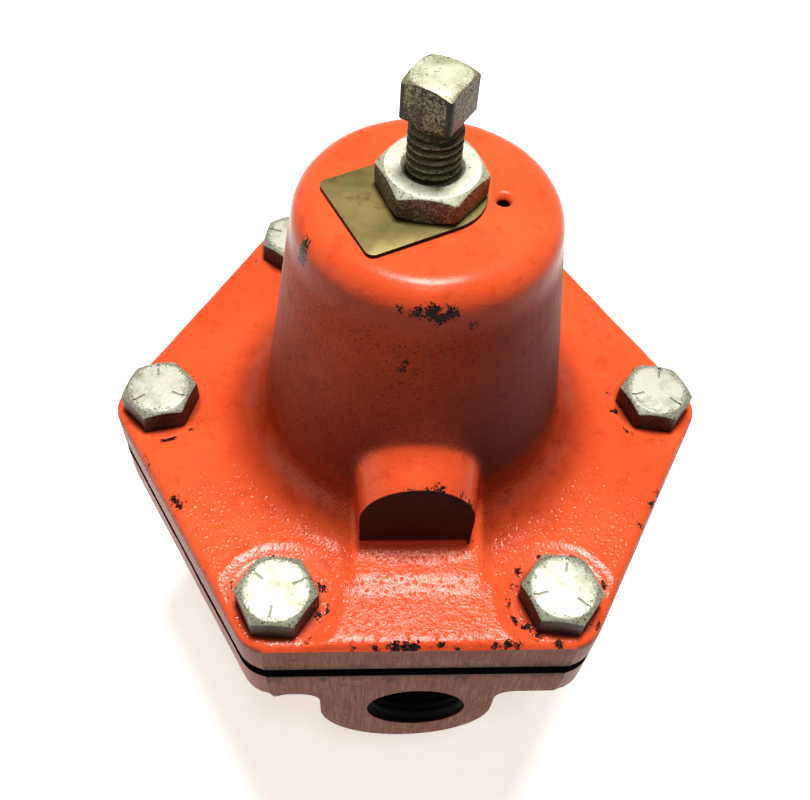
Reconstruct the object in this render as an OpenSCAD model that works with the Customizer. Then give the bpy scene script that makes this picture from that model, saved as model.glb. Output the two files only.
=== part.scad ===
// Direct-acting pressure reducing valve: a hexagonal six-bolt casting in two
// halves with a diaphragm between them, a spring chamber above and a globe
// body with the valve trim below. Millimetres, +Z along the adjusting screw,
// origin at the centre of the bottom plug's resting face, inlet towards -Y.

/* [Flanges] */
// Width of both hexagonal flanges across their flats
flange_af = 115.8; // [114:0.1:122]
// Radius that rounds the six corners of the flanges
flange_corner_r = 7.5; // [5:0.5:10]
// Thickness of the spring chamber's flange
chamber_flange_t = 10.4; // [9:0.1:14]
// Radius that rounds the top edge of the spring chamber's flange
flange_edge_r = 2; // [1:0.25:3]
// Thickness of the body's flange
body_flange_t = 10.5; // [9:0.1:13]
// Distance of each bolt's centre inside the flange's rounded corner
bolt_inset = 10.2; // [10:0.1:11.5]
// Diameter of the machined seat under each bolt head
spot_face_d = 19.6; // [17:0.1:20]
// Width of the shallow slope that runs up from each machined seat
spot_slope_w = 3.3; // [1:0.1:4]
// Depth of the machined seat under each bolt head
spot_face_depth = 0.4; // [0.2:0.1:1.2]
// Diameter of the machined seat round each nut under the body's flange
nut_seat_d = 17.4; // [17:0.1:19]
// Depth of the machined seat round each nut under the body's flange
nut_seat_depth = 0.3; // [0.2:0.1:1]

/* [Flange bolts] */
// Thread diameter of the flange bolts
bolt_d = 9.52; // [8:0.02:10]
// Length of the flange bolts below their heads
bolt_l = 38.1; // [36:0.1:42]
// Width of the bolt heads and their nuts across the flats
bolt_af = 14.29; // [13:0.01:15]
// Share of a bolt head's width that its flat round top takes
bolt_top_share = 0.9; // [0.85:0.01:0.97]
// Height of the bolt heads
bolt_head_h = 6; // [5:0.1:7]
// Height of the nuts under the body's flange
bolt_nut_h = 8.3; // [6:0.1:9]

/* [Spring chamber] */
// Height of the bell above the top of its flange
bell_h = 61.9; // [58:0.1:68]
// Outer radius of the bell where it meets the flange
bell_base_r = 33; // [31:0.1:35]
// Outer radius of the bell at its top, measured to the unrounded edge
bell_top_r = 23.8; // [22:0.1:26]
// Radius that rounds the shoulder of the bell
shoulder_r = 5.5; // [4:0.1:9]
// Radius of the fillet between the bell and the flange
base_fillet_r = 10; // [6:0.5:12]
// Wall thickness of the bell
bell_wall = 6; // [5:0.1:7]
// Thickness of the crown that the adjusting screw is threaded through
crown_t = 12; // [10:0.1:14]
// Diameter of the vent hole in the crown
vent_d = 2.4; // [1.6:0.1:3.5]
// Diameter of the countersink of the vent hole
vent_sink_d = 3.6; // [3.6:0.1:5]
// Distance of the vent hole from the axis
vent_pitch_r = 12.9; // [12.5:0.1:14]
// Direction of the vent hole round the axis
vent_angle = -5; // [-20:1:20]

/* [Front lug] */
// Width of the half-round lug on the front of the bell
lug_w = 22; // [18:0.1:25]
// Distance of the lug's flat face from the axis
lug_face_y = 36.2; // [35:0.1:38]
// How far the lug was cast to the left of the axis
lug_shift = 0.6; // [-1.5:0.1:1.5]
// Height of the lug's barrel centre above the flange
lug_axis_h = 9.6; // [7:0.1:12]
// How far the lug's top rises from its face to where it runs into the bell
lug_rise = 4.6; // [2:0.1:6]
// How far each cheek of the lug spreads from its face to the bell
lug_spread = 1; // [0:0.1:2]
// Radius of the fillets at the foot of the lug
lug_foot_r = 2.5; // [1:0.1:4]

/* [Body] */
// Height of the body from its bottom face to its flange's top face
body_h = 66.6; // [65:0.1:70]
// Depth of the port axis below the body's top face
port_drop = 20.3; // [19.5:0.1:22]
// Radius of the two threaded ports, half-inch pipe thread
port_r = 10.67; // [9:0.01:11.5]
// How far the inlet's thread was drilled to the right of the axis
inlet_shift = 0.9; // [-1.5:0.1:1.5]
// Depth of the thread in each port
port_depth = 20; // [16:0.5:22]
// Outer radius of the port bosses
boss_r = 18.7; // [17:0.1:20]
// How far the port bosses were cast to the left of the axis
boss_shift = 1.2; // [-1.5:0.1:1.5]
// Radius of the fillets between the port bosses and the flange
boss_fillet_r = 4; // [2:0.5:6]
// Radius of the globe in the middle of the body
belly_r = 34; // [33:0.5:36]
// Depth of the globe's centre below the bridge
belly_drop = 3; // [2:0.5:5]
// Radius of the neck at the bottom of the body
neck_r = 26; // [25:0.5:28]
// Radius of the fillet between the neck and the globe
neck_fillet_r = 5; // [3:0.5:7]
// Radius that the fan under the body's flange springs from, at the ports' height
fan_root_r = 29; // [27:0.5:32]
// Radius that the fan under the body's flange spreads to
fan_r = 43; // [40:0.5:44]
// Radius of the lower bore, which the bottom plug screws into
lower_bore_r = 15.9; // [15:0.1:16.5]
// Radius of the upper bore, above the seat ring
upper_bore_r = 15; // [14:0.1:16]
// Radius of the cast passages from the ports to the bores
passage_r = 7.2; // [6:0.1:7.5]
// Slope of the passage that leads from the inlet down to the lower bore
inlet_slope = 35; // [30:1:38]
// How far below the port's axis the inlet's passage starts
inlet_drop = 2; // [1:0.5:3]
// Thickness of the bridge that carries the seat ring
bridge_t = 6; // [5:0.1:7]
// Depth of the bridge's top below the port axis
bridge_drop = 4.2; // [3.5:0.1:5]

/* [Diaphragm] */
// Thickness of the diaphragm
diaphragm_t = 1.6; // [1:0.1:2]
// Thickness of each gasket beside the diaphragm
gasket_t = 1; // [0.5:0.1:1.5]
// How far the diaphragm and its gaskets stop short of the flange's edge
diaphragm_inset = 1.3; // [0.5:0.1:2]
// Free radius of the diaphragm inside the flanges
recess_r = 38; // [36:0.5:42]
// Depth of the recess in the body under the diaphragm
body_recess = 7; // [6.5:0.1:7.5]
// Depth of the recess in the spring chamber over the diaphragm
chamber_recess = 5; // [3:0.1:6]
// Travel of the diaphragm and the plunger from closed to open
valve_travel = 2; // [1:0.1:2.4]
// Radius of the pressure plate on top of the diaphragm
pressure_plate_r = 24; // [22:0.5:25]
// Thickness of the pressure plate on top of the diaphragm
pressure_plate_t = 3.5; // [3:0.1:5]
// Height and width of the lip that keeps the range spring on its plate
pressure_lip = 2.2; // [1.5:0.1:3]
// Radius of the pusher plate under the diaphragm
pusher_plate_r = 22; // [18:0.5:24]
// Thickness of the pusher plate under the diaphragm
pusher_plate_t = 3; // [2.5:0.1:4]
// Radius of the pusher plate's post
post_r = 5; // [4:0.1:5.5]
// Radius of the stud that clamps the diaphragm
stud_r = 3.96; // [3.5:0.01:4.5]
// Width of the diaphragm nut across its flats
stud_nut_af = 12.7; // [11:0.1:14]
// Height of the diaphragm nut
stud_nut_h = 6.6; // [5:0.1:8]
// Thickness of the lock washer under the diaphragm nut
lock_washer_t = 1.5; // [1:0.1:2]

/* [Range spring] */
// Mean radius of the range spring's coils
spring_r = 15; // [14.5:0.1:15.2]
// Wire diameter of the range spring
spring_wire_d = 4.6; // [4:0.1:5]
// Number of turns of the range spring, with its two closed ends
spring_turns = 7; // [5:1:7]
// Length of the range spring as it is set
spring_l = 44.3; // [43:0.1:45]

/* [Spring button] */
// Radius of the button that presses on the range spring
button_r = 16.8; // [16.5:0.1:18]
// Thickness of the button's rim
button_t = 6; // [5:0.1:6.5]
// Height of the button's hub above its rim
button_hub_h = 3; // [2.5:0.1:3.5]
// Radius of the button's hub
button_hub_r = 8; // [7:0.1:10]
// Height of the pilot that centres the range spring
button_pilot_h = 3; // [2:0.1:4]
// Depth of the conical socket that the adjusting screw turns in
socket_depth = 4; // [3:0.1:5]

/* [Adjusting screw] */
// Diameter of the adjusting screw, three-eighths of an inch
screw_d = 9.48; // [9:0.02:10]
// Length of the adjusting screw below its head
screw_l = 37.3; // [36:0.1:40]
// Width of the screw's square head across its flats
screw_head_af = 9.2; // [8.5:0.1:10]
// Height of the screw's square head
screw_head_h = 7.2; // [6:0.1:9]
// Direction of the head's first corner round the axis
screw_head_turn = 12; // [0:1:89]
// Width of the lock nut across its flats
lock_nut_af = 17.4; // [16:0.1:18]
// Height of the lock nut
lock_nut_h = 5.5; // [4.5:0.1:6.5]
// Direction of the lock nut's first corner round the axis
lock_nut_turn = 51; // [0:1:59]

/* [Tag plate] */
// Thickness of the blank tag plate under the lock nut
plate_t = 0.8; // [0.5:0.1:1.2]
// Half width of the tag plate, which is also the radius of its round end
plate_half_w = 10.1; // [10:0.1:11]
// Distance of the tag plate's square end from the axis
plate_reach = 17; // [14:0.1:18]
// Radius that rounds the two corners of the tag plate
plate_corner_r = 1.6; // [0.5:0.1:3]
// Direction that the tag plate points in round the axis
plate_angle = 206; // [150:1:230]

/* [Valve trim] */
// Radius of the orifice through the seat ring
orifice_r = 6.3; // [5.5:0.1:6.5]
// Radius of the seat ring's thread in the bridge
seat_thread_r = 9; // [8.8:0.1:9.5]
// Width of the seat ring's hexagon across its flats
seat_hex_af = 22; // [21:0.1:23]
// Height of the seat ring's hexagon
seat_hex_h = 4; // [3:0.1:4.5]
// How far the seat's lip stands below the bridge
seat_lip_h = 1.8; // [1.5:0.1:2.5]
// Thickness of the seat's lip at its edge
seat_lip_t = 1.1; // [0.8:0.1:1.4]
// Radius of the plunger's cup
cup_r = 10.5; // [10:0.1:11]
// Height of the plunger's cup
cup_h = 11; // [9:0.1:12]
// Radius of the soft seat disc
disc_r = 8.5; // [8.2:0.1:8.8]
// Thickness of the soft seat disc
disc_t = 3.2; // [2:0.1:4]
// Radius of the plunger's upper stem
stem_r = 3; // [2.5:0.1:3.5]
// Radius of the plunger's lower guide
guide_r = 4; // [3.5:0.1:4.5]
// Radius of the nut that holds the seat disc
retainer_r = 4.6; // [4.2:0.1:4.9]
// Height of the nut that holds the seat disc
retainer_h = 2.5; // [2:0.1:3.5]
// Mean radius of the return spring's coils
return_r = 6.5; // [6:0.1:6.8]
// Wire diameter of the return spring
return_wire_d = 1.6; // [1.2:0.1:1.8]
// Number of turns of the return spring, with its two closed ends
return_turns = 7; // [5:1:8]

/* [Bottom plug] */
// Width of the bottom plug's hexagon across its flats
plug_af = 44.4; // [42:0.1:48]
// Height of the bottom plug's hexagon
plug_hex_h = 10.5; // [8:0.1:12]
// Length of the bottom plug's threaded spigot above its gasket
plug_spigot_l = 12; // [10:0.1:14]
// Thickness of the bottom plug's gasket
plug_gasket_t = 1.5; // [1:0.1:2]
// How far the bottom plug's gasket stops short of the hexagon's flats
plug_gasket_inset = 1.2; // [0.5:0.1:2]
// Radius of the pocket that holds the return spring
pocket_r = 8.2; // [8:0.1:9]
// Depth of the pocket that holds the return spring
pocket_depth = 10; // [9:0.1:12]
// Depth of the bottom of the plunger's guide bore below the pocket's floor
guide_depth = 9; // [8:0.1:10]

/* [Fits] */
// Radial clearance of a screw in its thread
thread_play = 0.06; // [0.02:0.01:0.1]
// Radial clearance of the plunger in its guide
guide_play = 0.05; // [0.02:0.01:0.1]
// Radial clearance of the flange bolts in their holes
bolt_play = 0.4; // [0.2:0.05:0.8]
// Radial clearance of the range spring round its pilot and inside its lip
button_play = 0.6; // [0.3:0.1:0.8]
// Small gap between inner pieces that don't bear on each other
loose_play = 0.1; // [0.05:0.01:0.2]
// Free length left beyond a moving piece's travel before it would bottom
stop_gap = 1; // [1:0.5:2.5]

/* [Hidden] */
$fn = 96;
hull_fn = 36;
sides = 6;
// Overshoot of a cutting shape past the face it cuts
cut = 1;
// Overshoot of a countersink, small enough to keep its rim's size
hair = 0.001;
// How deep a form sinks into the one that it is joined to
sink = 0.5;
// Depth by which a fillet dips into the face that it runs out on
fillet_dip = 0.05;

// Heights, from the bottom plug's resting face upwards
body_z = plug_hex_h + plug_gasket_t;
joint_z = body_z + body_h;
body_flange_z = joint_z - body_flange_t;
diaphragm_z = joint_z + gasket_t;
upper_gasket_z = diaphragm_z + diaphragm_t;
chamber_z = upper_gasket_z + gasket_t;
flange_top_z = chamber_z + chamber_flange_t;
crown_z = flange_top_z + bell_h;
port_z = joint_z - port_drop;
bridge_top_z = port_z - bridge_drop;
bridge_z = bridge_top_z - bridge_t;
belly_z = bridge_z - belly_drop;
seat_z = bridge_z - seat_lip_h;
cup_z = seat_z - cup_h;
pocket_z = body_z + plug_spigot_l - pocket_depth;
guide_floor_z = pocket_z - guide_depth;
guide_end_z = guide_floor_z + valve_travel + stop_gap;
recess_floor_z = joint_z - body_recess;
pusher_z = diaphragm_z - pusher_plate_t;
pressure_top_z = upper_gasket_z + pressure_plate_t;
spring_top_z = pressure_top_z + spring_l;
button_top_z = spring_top_z + button_t + button_hub_h;
screw_tip_z = button_top_z - socket_depth;
head_z = screw_tip_z + screw_l;
nut_z = crown_z + plate_t;
bolt_seat_z = flange_top_z - spot_face_depth;
nut_seat_z = body_flange_z + nut_seat_depth;
stud_end_z = pressure_top_z + lock_washer_t + stud_nut_h + 1.5;
post_end_z = bridge_top_z + seat_hex_h + valve_travel + stop_gap;

// Bolts: the turn of each head and nut, as a fitter left them
bolt_turns = [51, 33, 20, 13, 56, 52];
nut_turns = [20, 47, 5, 31, 14, 0];
flange_corner_reach = (flange_af / 2 - flange_corner_r) / cos(30) + flange_corner_r;
bolt_circle_r = flange_corner_reach - bolt_inset;
bolt_hole_r = bolt_d / 2 + bolt_play;
// Slope of the chamfers on bolt heads and nuts
chamfer_angle = 30;

// The bell is a cone that leans in by this angle
bell_lean = atan((bell_base_r - bell_top_r) / bell_h);
cavity_top_z = crown_z - crown_t;
cavity_z = chamber_z + chamber_recess;
screw_hole_r = screw_d / 2 + thread_play;
socket_slope = 0.75;
socket_floor_r = 2.3;

paint_colour = "#e0492a";
zinc_colour = "#a9ab9c";
brass_colour = "#8f8250";
steel_colour = "#8c8f92";
rubber_colour = "#2b2a29";

// Outer radius of the bell's cone at a height
function bell_r(z) = bell_base_r - (z - flange_top_z) * tan(bell_lean);

// A hexagon with rounded corners, one corner on +X
module rounded_hexagon(af, corner_r) {
  centre_r = (af / 2 - corner_r) / cos(30);
  steps = 12;
  polygon([for (i = [0:sides - 1], k = [0:steps])
    let (a = i * 60, b = a - 30 + 60 * k / steps)
    [centre_r * cos(a) + corner_r * cos(b), centre_r * sin(a) + corner_r * sin(b)]]);
}

module at_bolts() {
  for (i = [0:sides - 1])
    rotate(i * 60)
      translate([bolt_circle_r, 0, 0])
        rotate(-i * 60)
          children($index = i);
}

// A hexagonal or square head whose ends are chamfered where asked
module wrench_head(af, h, count, top = true, bottom = false, slope = chamfer_angle,
    share = 0.97) {
  corner_r = af / 2 / cos(180 / count);
  rim_r = af / 2 * share;
  turned_r = corner_r + cut;
  fall = (turned_r - rim_r) * tan(slope);
  intersection() {
    cylinder(r = corner_r, h = h, $fn = count);
    rotate_extrude()
      polygon([[0, 0], [bottom ? rim_r : turned_r, 0], [turned_r, bottom ? fall : 0],
        [turned_r, top ? h - fall : h], [top ? rim_r : turned_r, h], [0, h]]);
  }
}

// A round shank hanging below z = 0, sunk a little into the head above it
module shank(r, l, tip_r, tip_h) {
  sunk = 1.5;
  rotate_extrude()
    polygon([[0, sunk], [r, sunk], [r, tip_h - l], [tip_r, -l], [0, -l]]);
}

// A flat ring
module ring(outer, inner, h) {
  difference() {
    cylinder(r = outer, h = h);
    translate([0, 0, -cut])
      cylinder(r = inner, h = h + 2 * cut);
  }
}

// A compression spring between z = 0 and z = length, closed at both ends
module coil_spring(mean_r, wire_d, turns, length, faces, steps) {
  wire_r = wire_d / 2;
  lift = length - 2 * wire_r;
  count = turns * steps;
  // Height of the wire's centre after u turns: one flat turn at each end
  function wire_z(u) =
    u < 1 ? wire_r + u * wire_d * 0.5
    : u > turns - 1 ? wire_r + lift - (turns - u) * wire_d * 0.5
    : wire_r + wire_d * 0.5 + (u - 1) / (turns - 2) * (lift - wire_d);
  points = [for (i = [0:count], j = [0:faces - 1])
    let (a = i / steps * 360, b = j / faces * 360, r = mean_r + wire_r * cos(b))
    [r * cos(a), r * sin(a), wire_z(i / steps) + wire_r * sin(b)]];
  walls = [for (i = [0:count - 1], j = [0:faces - 1])
    let (k = (j + 1) % faces)
    [i * faces + j, i * faces + k, (i + 1) * faces + k, (i + 1) * faces + j]];
  start = [for (j = [faces - 1:-1:0]) j];
  end = [for (j = [0:faces - 1]) count * faces + j];
  polyhedron(points, concat([start], walls, [end]), convexity = 10);
}

// The flange of the spring chamber, with its top edge rounded
module chamber_flange() {
  centre_r = (flange_af / 2 - flange_corner_r) / cos(30);
  hull()
    for (i = [0:sides - 1])
      rotate(i * 60)
        translate([centre_r, 0, 0])
          rotate_extrude($fn = hull_fn)
            flange_edge();
}

// Section of the rounded disc at a corner of the chamber's flange
module flange_edge() {
  steps = 5;
  polygon(concat([[0, 0], [flange_corner_r, 0]],
    [for (i = [0:steps])
      let (a = i / steps * 90)
      [flange_corner_r - flange_edge_r * (1 - cos(a)),
       chamber_flange_t - flange_edge_r * (1 - sin(a))]],
    [[0, chamber_flange_t]]));
}

// Half section of the bell, from inside its flange to the crown
module bell_section() {
  lean = bell_lean;
  shoulder_z = crown_z - shoulder_r;
  shoulder_x = bell_r(shoulder_z) - shoulder_r / cos(lean);
  foot_x = bell_base_r + base_fillet_r * (1 - sin(lean)) / cos(lean);
  foot_z = flange_top_z + base_fillet_r - fillet_dip;
  sunk_z = flange_top_z - cut;
  polygon([[0, sunk_z], [bell_r(sunk_z), sunk_z],
    [shoulder_x + shoulder_r * cos(lean), shoulder_z + shoulder_r * sin(lean)],
    [shoulder_x, shoulder_z], [shoulder_x, crown_z], [0, crown_z]]);
  translate([shoulder_x, shoulder_z])
    circle(r = shoulder_r);
  difference() {
    polygon([[bell_base_r - cut, sunk_z], [foot_x, sunk_z], [foot_x, foot_z - base_fillet_r],
      [foot_x - base_fillet_r * cos(lean), foot_z - base_fillet_r * sin(lean)],
      [bell_base_r - base_fillet_r / 2, foot_z - base_fillet_r * sin(lean)]]);
    translate([foot_x, foot_z])
      circle(r = base_fillet_r);
  }
}

// One slice of the lug: a barrel on straight cheeks, at a distance from the axis
module lug_slice(y, grow, rise) {
  r = lug_w / 2 + grow;
  translate([0, -y, flange_top_z + lug_axis_h])
    rotate([90, 0, 0])
      linear_extrude(sink) {
        translate([0, rise - grow])
          circle(r = r, $fn = hull_fn);
        translate([-r, -lug_axis_h - cut])
          square([2 * r, lug_axis_h + cut + rise - grow]);
      }
}

// The half-round lug, which ramps up and spreads a little into the bell
module lug() {
  seam_y = bell_r(flange_top_z + 2 * lug_axis_h);
  root_y = bell_base_r - bell_wall;
  ramp = (lug_face_y - root_y) / (lug_face_y - seam_y);
  hull() {
    lug_slice(lug_face_y - sink, 0, 0);
    lug_slice(root_y, lug_spread * ramp, lug_rise * ramp);
  }
  lug_foot();
}

// Hollow fillets where the lug's face and cheeks stand on the flange
module lug_foot() {
  r = lug_foot_r;
  half_w = lug_w / 2;
  depth = lug_face_y - bell_base_r + r;
  translate([-half_w, -lug_face_y, flange_top_z])
    rotate([90, 0, 90])
      foot_fillet(lug_w);
  for (side = [-1, 1])
    translate([side * half_w, -lug_face_y + depth, flange_top_z])
      rotate([90, 0, 0])
        mirror([side > 0 ? 1 : 0, 0, 0])
          foot_fillet(depth);
  for (side = [-1, 1])
    translate([side * half_w, -lug_face_y, flange_top_z - cut])
      rotate_extrude()
        difference() {
          square([r, r + cut]);
          translate([r, r + cut - fillet_dip])
            circle(r = r);
        }
}

// A straight concave fillet along z, filling the corner on the -x side
module foot_fillet(length) {
  r = lug_foot_r;
  linear_extrude(length)
    difference() {
      translate([-r, -cut])
        square([r + cut, r + cut]);
      translate([-r, r - fillet_dip])
        circle(r = r);
    }
}

module spring_chamber() color(paint_colour) difference() {
  union() {
    translate([0, 0, chamber_z])
      chamber_flange();
    rotate_extrude()
      bell_section();
    translate([-lug_shift, 0, 0])
      lug();
  }
  translate([0, 0, chamber_z - cut])
    cylinder(r = recess_r, h = chamber_recess + cut);
  rotate_extrude()
    polygon([[0, cavity_z - cut], [bell_r(cavity_z - cut) - bell_wall, cavity_z - cut],
      [bell_r(cavity_top_z) - bell_wall, cavity_top_z], [0, cavity_top_z]]);
  translate([0, 0, cavity_top_z - cut])
    cylinder(r = screw_hole_r, h = crown_t + 2 * cut);
  rotate(vent_angle)
    translate([vent_pitch_r, 0, 0]) {
      translate([0, 0, cavity_top_z - cut])
        cylinder(d = vent_d, h = crown_t + 2 * cut);
      translate([0, 0, crown_z - (vent_sink_d - vent_d)])
        cylinder(d1 = vent_d, d2 = vent_sink_d, h = vent_sink_d - vent_d + hair);
    }
  at_bolts() {
    translate([0, 0, chamber_z - cut])
      cylinder(r = bolt_hole_r, h = chamber_flange_t + 2 * cut);
    translate([0, 0, bolt_seat_z])
      cylinder(d = spot_face_d, h = base_fillet_r);
    translate([0, 0, bolt_seat_z])
      bolt_dish();
  }
}

// The slope round a bolt's seat, carried on a little above the flange
module bolt_dish() {
  seat_r = spot_face_d / 2;
  over = 1 + hair;
  cylinder(r1 = seat_r, r2 = seat_r + over * spot_slope_w, h = over * spot_face_depth);
}

// Outline of the port bosses, seen along the ports
module boss_section() {
  half_top = boss_r + boss_fillet_r;
  circle(r = boss_r);
  translate([-boss_r, 0])
    square([2 * boss_r, port_drop - body_flange_t + cut]);
  difference() {
    translate([-half_top, port_drop - body_flange_t - boss_fillet_r])
      square([2 * half_top, boss_fillet_r + cut]);
    for (side = [-1, 1])
      translate([side * half_top, port_drop - body_flange_t - boss_fillet_r - fillet_dip])
        circle(r = boss_fillet_r);
  }
}

// Half section of the body: neck, globe and the fan under the flange
module body_section() {
  neck_top_z = belly_z - sqrt(belly_r ^ 2 - neck_r ^ 2);
  neck_fillet_x = neck_r + neck_fillet_r;
  neck_fillet_z = belly_z - sqrt((belly_r + neck_fillet_r) ^ 2 - neck_fillet_x ^ 2);
  meet = neck_fillet_r / (belly_r + neck_fillet_r);
  intersection() {
    translate([0, belly_z])
      circle(r = belly_r);
    translate([0, body_z])
      square([belly_r, body_flange_z - body_z + cut]);
  }
  translate([0, body_z])
    square([neck_r, neck_top_z - body_z + cut]);
  difference() {
    polygon([[neck_r - cut, neck_fillet_z], [neck_fillet_x, neck_fillet_z],
      [neck_fillet_x * (1 - meet), neck_fillet_z + (belly_z - neck_fillet_z) * meet],
      [neck_r - cut, neck_fillet_z + neck_fillet_r]]);
    translate([neck_fillet_x, neck_fillet_z])
      circle(r = neck_fillet_r);
  }
  polygon([[0, port_z], [fan_root_r, port_z], [fan_r, body_flange_z],
    [fan_r, body_flange_z + cut], [0, body_flange_z + cut]]);
}

module valve_body() color(paint_colour) difference() {
  half_af = flange_af / 2;
  bore_end_y = half_af - port_depth;
  union() {
    translate([0, 0, body_flange_z])
      linear_extrude(body_flange_t)
        rounded_hexagon(flange_af, flange_corner_r);
    translate([-boss_shift, half_af, port_z])
      rotate([90, 0, 0])
        linear_extrude(flange_af)
          boss_section();
    rotate_extrude()
      body_section();
  }
  translate([0, 0, recess_floor_z])
    cylinder(r = recess_r, h = body_recess + cut);
  translate([0, 0, bridge_top_z])
    cylinder(r = upper_bore_r, h = recess_floor_z - bridge_top_z + cut);
  translate([0, 0, bridge_z - cut])
    cylinder(r = seat_thread_r + thread_play, h = bridge_t + 2 * cut);
  translate([0, 0, body_z - cut])
    cylinder(r = lower_bore_r, h = bridge_z - body_z + cut);
  for (side = [-1, 1])
    translate([side < 0 ? inlet_shift : 0, side * bore_end_y, port_z])
      rotate([-side * 90, 0, 0])
        cylinder(r = port_r, h = port_depth + cut);
  // The inlet's passage slopes down to the lower bore
  translate([inlet_shift, -bore_end_y, port_z - inlet_drop])
    rotate([-90 - inlet_slope, 0, 0])
      translate([0, 0, -inlet_drop])
        cylinder(r = passage_r, h = bore_end_y);
  // The outlet's passage comes level from the upper bore, just above the bridge
  translate([0, bore_end_y + cut, bridge_top_z + passage_r + sink])
    rotate([90, 0, 0])
      cylinder(r = passage_r, h = bore_end_y);
  at_bolts() {
    translate([0, 0, body_flange_z - cut])
      cylinder(r = bolt_hole_r, h = body_flange_t + 2 * cut);
    translate([0, 0, nut_seat_z - bolt_nut_h - cut])
      cylinder(d = nut_seat_d, h = bolt_nut_h + cut);
  }
}

module flange_gasket(z, t, hole_r) {
  translate([0, 0, z])
    difference() {
      linear_extrude(t)
        rounded_hexagon(flange_af - 2 * diaphragm_inset, flange_corner_r - diaphragm_inset);
      translate([0, 0, -cut])
        cylinder(r = hole_r, h = t + 2 * cut);
      at_bolts()
        translate([0, 0, -cut])
          cylinder(r = bolt_hole_r, h = t + 2 * cut);
    }
}

module upper_gasket() color(rubber_colour)
  flange_gasket(upper_gasket_z, gasket_t, recess_r);

module lower_gasket() color(rubber_colour)
  flange_gasket(joint_z, gasket_t, recess_r);

module diaphragm() color("#3a3633")
  flange_gasket(diaphragm_z, diaphragm_t, stud_r + loose_play);

module flange_bolts() color(zinc_colour) at_bolts()
  translate([0, 0, bolt_seat_z]) {
    rotate(bolt_turns[$index])
      wrench_head(bolt_af, bolt_head_h, 6, share = bolt_top_share);
    shank(bolt_d / 2, bolt_l, bolt_d / 2 - 1, 1);
  }

module flange_nuts() color(zinc_colour) at_bolts()
  translate([0, 0, nut_seat_z - bolt_nut_h])
    difference() {
      rotate(nut_turns[$index])
        wrench_head(bolt_af, bolt_nut_h, 6, top = false, bottom = true);
      translate([0, 0, -cut])
        cylinder(r = bolt_d / 2 + thread_play, h = bolt_nut_h + 2 * cut);
    }

module tag_plate() color(brass_colour)
  translate([0, 0, crown_z])
    linear_extrude(plate_t)
      rotate(plate_angle)
        difference() {
          union() {
            circle(r = plate_half_w);
            translate([0, -plate_half_w])
              square([plate_reach - plate_corner_r, 2 * plate_half_w]);
            translate([0, -plate_half_w + plate_corner_r])
              square([plate_reach, 2 * (plate_half_w - plate_corner_r)]);
            for (side = [-1, 1])
              translate([plate_reach - plate_corner_r, side * (plate_half_w - plate_corner_r)])
                circle(r = plate_corner_r);
          }
          circle(r = screw_hole_r + loose_play);
        }

module lock_nut() color(zinc_colour)
  translate([0, 0, nut_z])
    difference() {
      mouth = 0.7;
      rotate(lock_nut_turn)
        wrench_head(lock_nut_af, lock_nut_h, 6, bottom = true);
      translate([0, 0, -cut])
        cylinder(r = screw_hole_r, h = lock_nut_h + 2 * cut);
      for (end = [0, 1])
        translate([0, 0, end * lock_nut_h])
          mirror([0, 0, end])
            translate([0, 0, -hair])
              cylinder(r1 = screw_hole_r + mouth, r2 = screw_hole_r, h = mouth);
    }

module adjusting_screw() color(zinc_colour)
  translate([0, 0, head_z]) {
    rotate(screw_head_turn)
      wrench_head(screw_head_af, screw_head_h, 4, bottom = true, slope = 24);
    tip_r = socket_floor_r - loose_play;
    shank(screw_d / 2, screw_l, tip_r, (screw_d / 2 - tip_r) / socket_slope);
  }

module spring_button() color(steel_colour) difference() {
  pilot_r = spring_r - spring_wire_d / 2 - button_play;
  union() {
    translate([0, 0, spring_top_z])
      cylinder(r = button_r, h = button_t);
    translate([0, 0, spring_top_z + button_t - sink])
      cylinder(r = button_hub_r, h = button_hub_h + sink);
    translate([0, 0, spring_top_z - button_pilot_h])
      cylinder(r1 = pilot_r - 1, r2 = pilot_r, h = button_pilot_h + sink);
  }
  translate([0, 0, screw_tip_z])
    cylinder(r1 = socket_floor_r, r2 = socket_floor_r + socket_depth * socket_slope,
      h = socket_depth + hair);
}

module range_spring() color(steel_colour)
  translate([0, 0, pressure_top_z])
    coil_spring(spring_r, spring_wire_d, spring_turns, spring_l, faces = 8, steps = 20);

module pressure_plate() color(steel_colour)
  translate([0, 0, upper_gasket_z])
    difference() {
      lip_r = spring_r + spring_wire_d / 2 + button_play;
      union() {
        cylinder(r = pressure_plate_r, h = pressure_plate_t);
        cylinder(r = lip_r + pressure_lip, h = pressure_plate_t + pressure_lip);
      }
      translate([0, 0, pressure_plate_t])
        cylinder(r = lip_r, h = pressure_lip + cut);
      translate([0, 0, -cut])
        cylinder(r = stud_r + loose_play, h = pressure_plate_t + 2 * cut);
    }

module lock_washer() color(steel_colour)
  translate([0, 0, pressure_top_z])
    ring(stud_nut_af / 2, stud_r + loose_play, lock_washer_t);

module diaphragm_nut() color(steel_colour)
  translate([0, 0, pressure_top_z + lock_washer_t])
    difference() {
      wrench_head(stud_nut_af, stud_nut_h, 6);
      translate([0, 0, -cut])
        cylinder(r = stud_r + thread_play, h = stud_nut_h + 2 * cut);
    }

module pusher_plate() color(steel_colour) {
  translate([0, 0, pusher_z])
    cylinder(r = pusher_plate_r, h = pusher_plate_t);
  translate([0, 0, post_end_z])
    cylinder(r = post_r, h = pusher_z - post_end_z + sink);
  translate([0, 0, diaphragm_z - sink])
    cylinder(r = stud_r, h = stud_end_z - diaphragm_z + sink);
}

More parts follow.
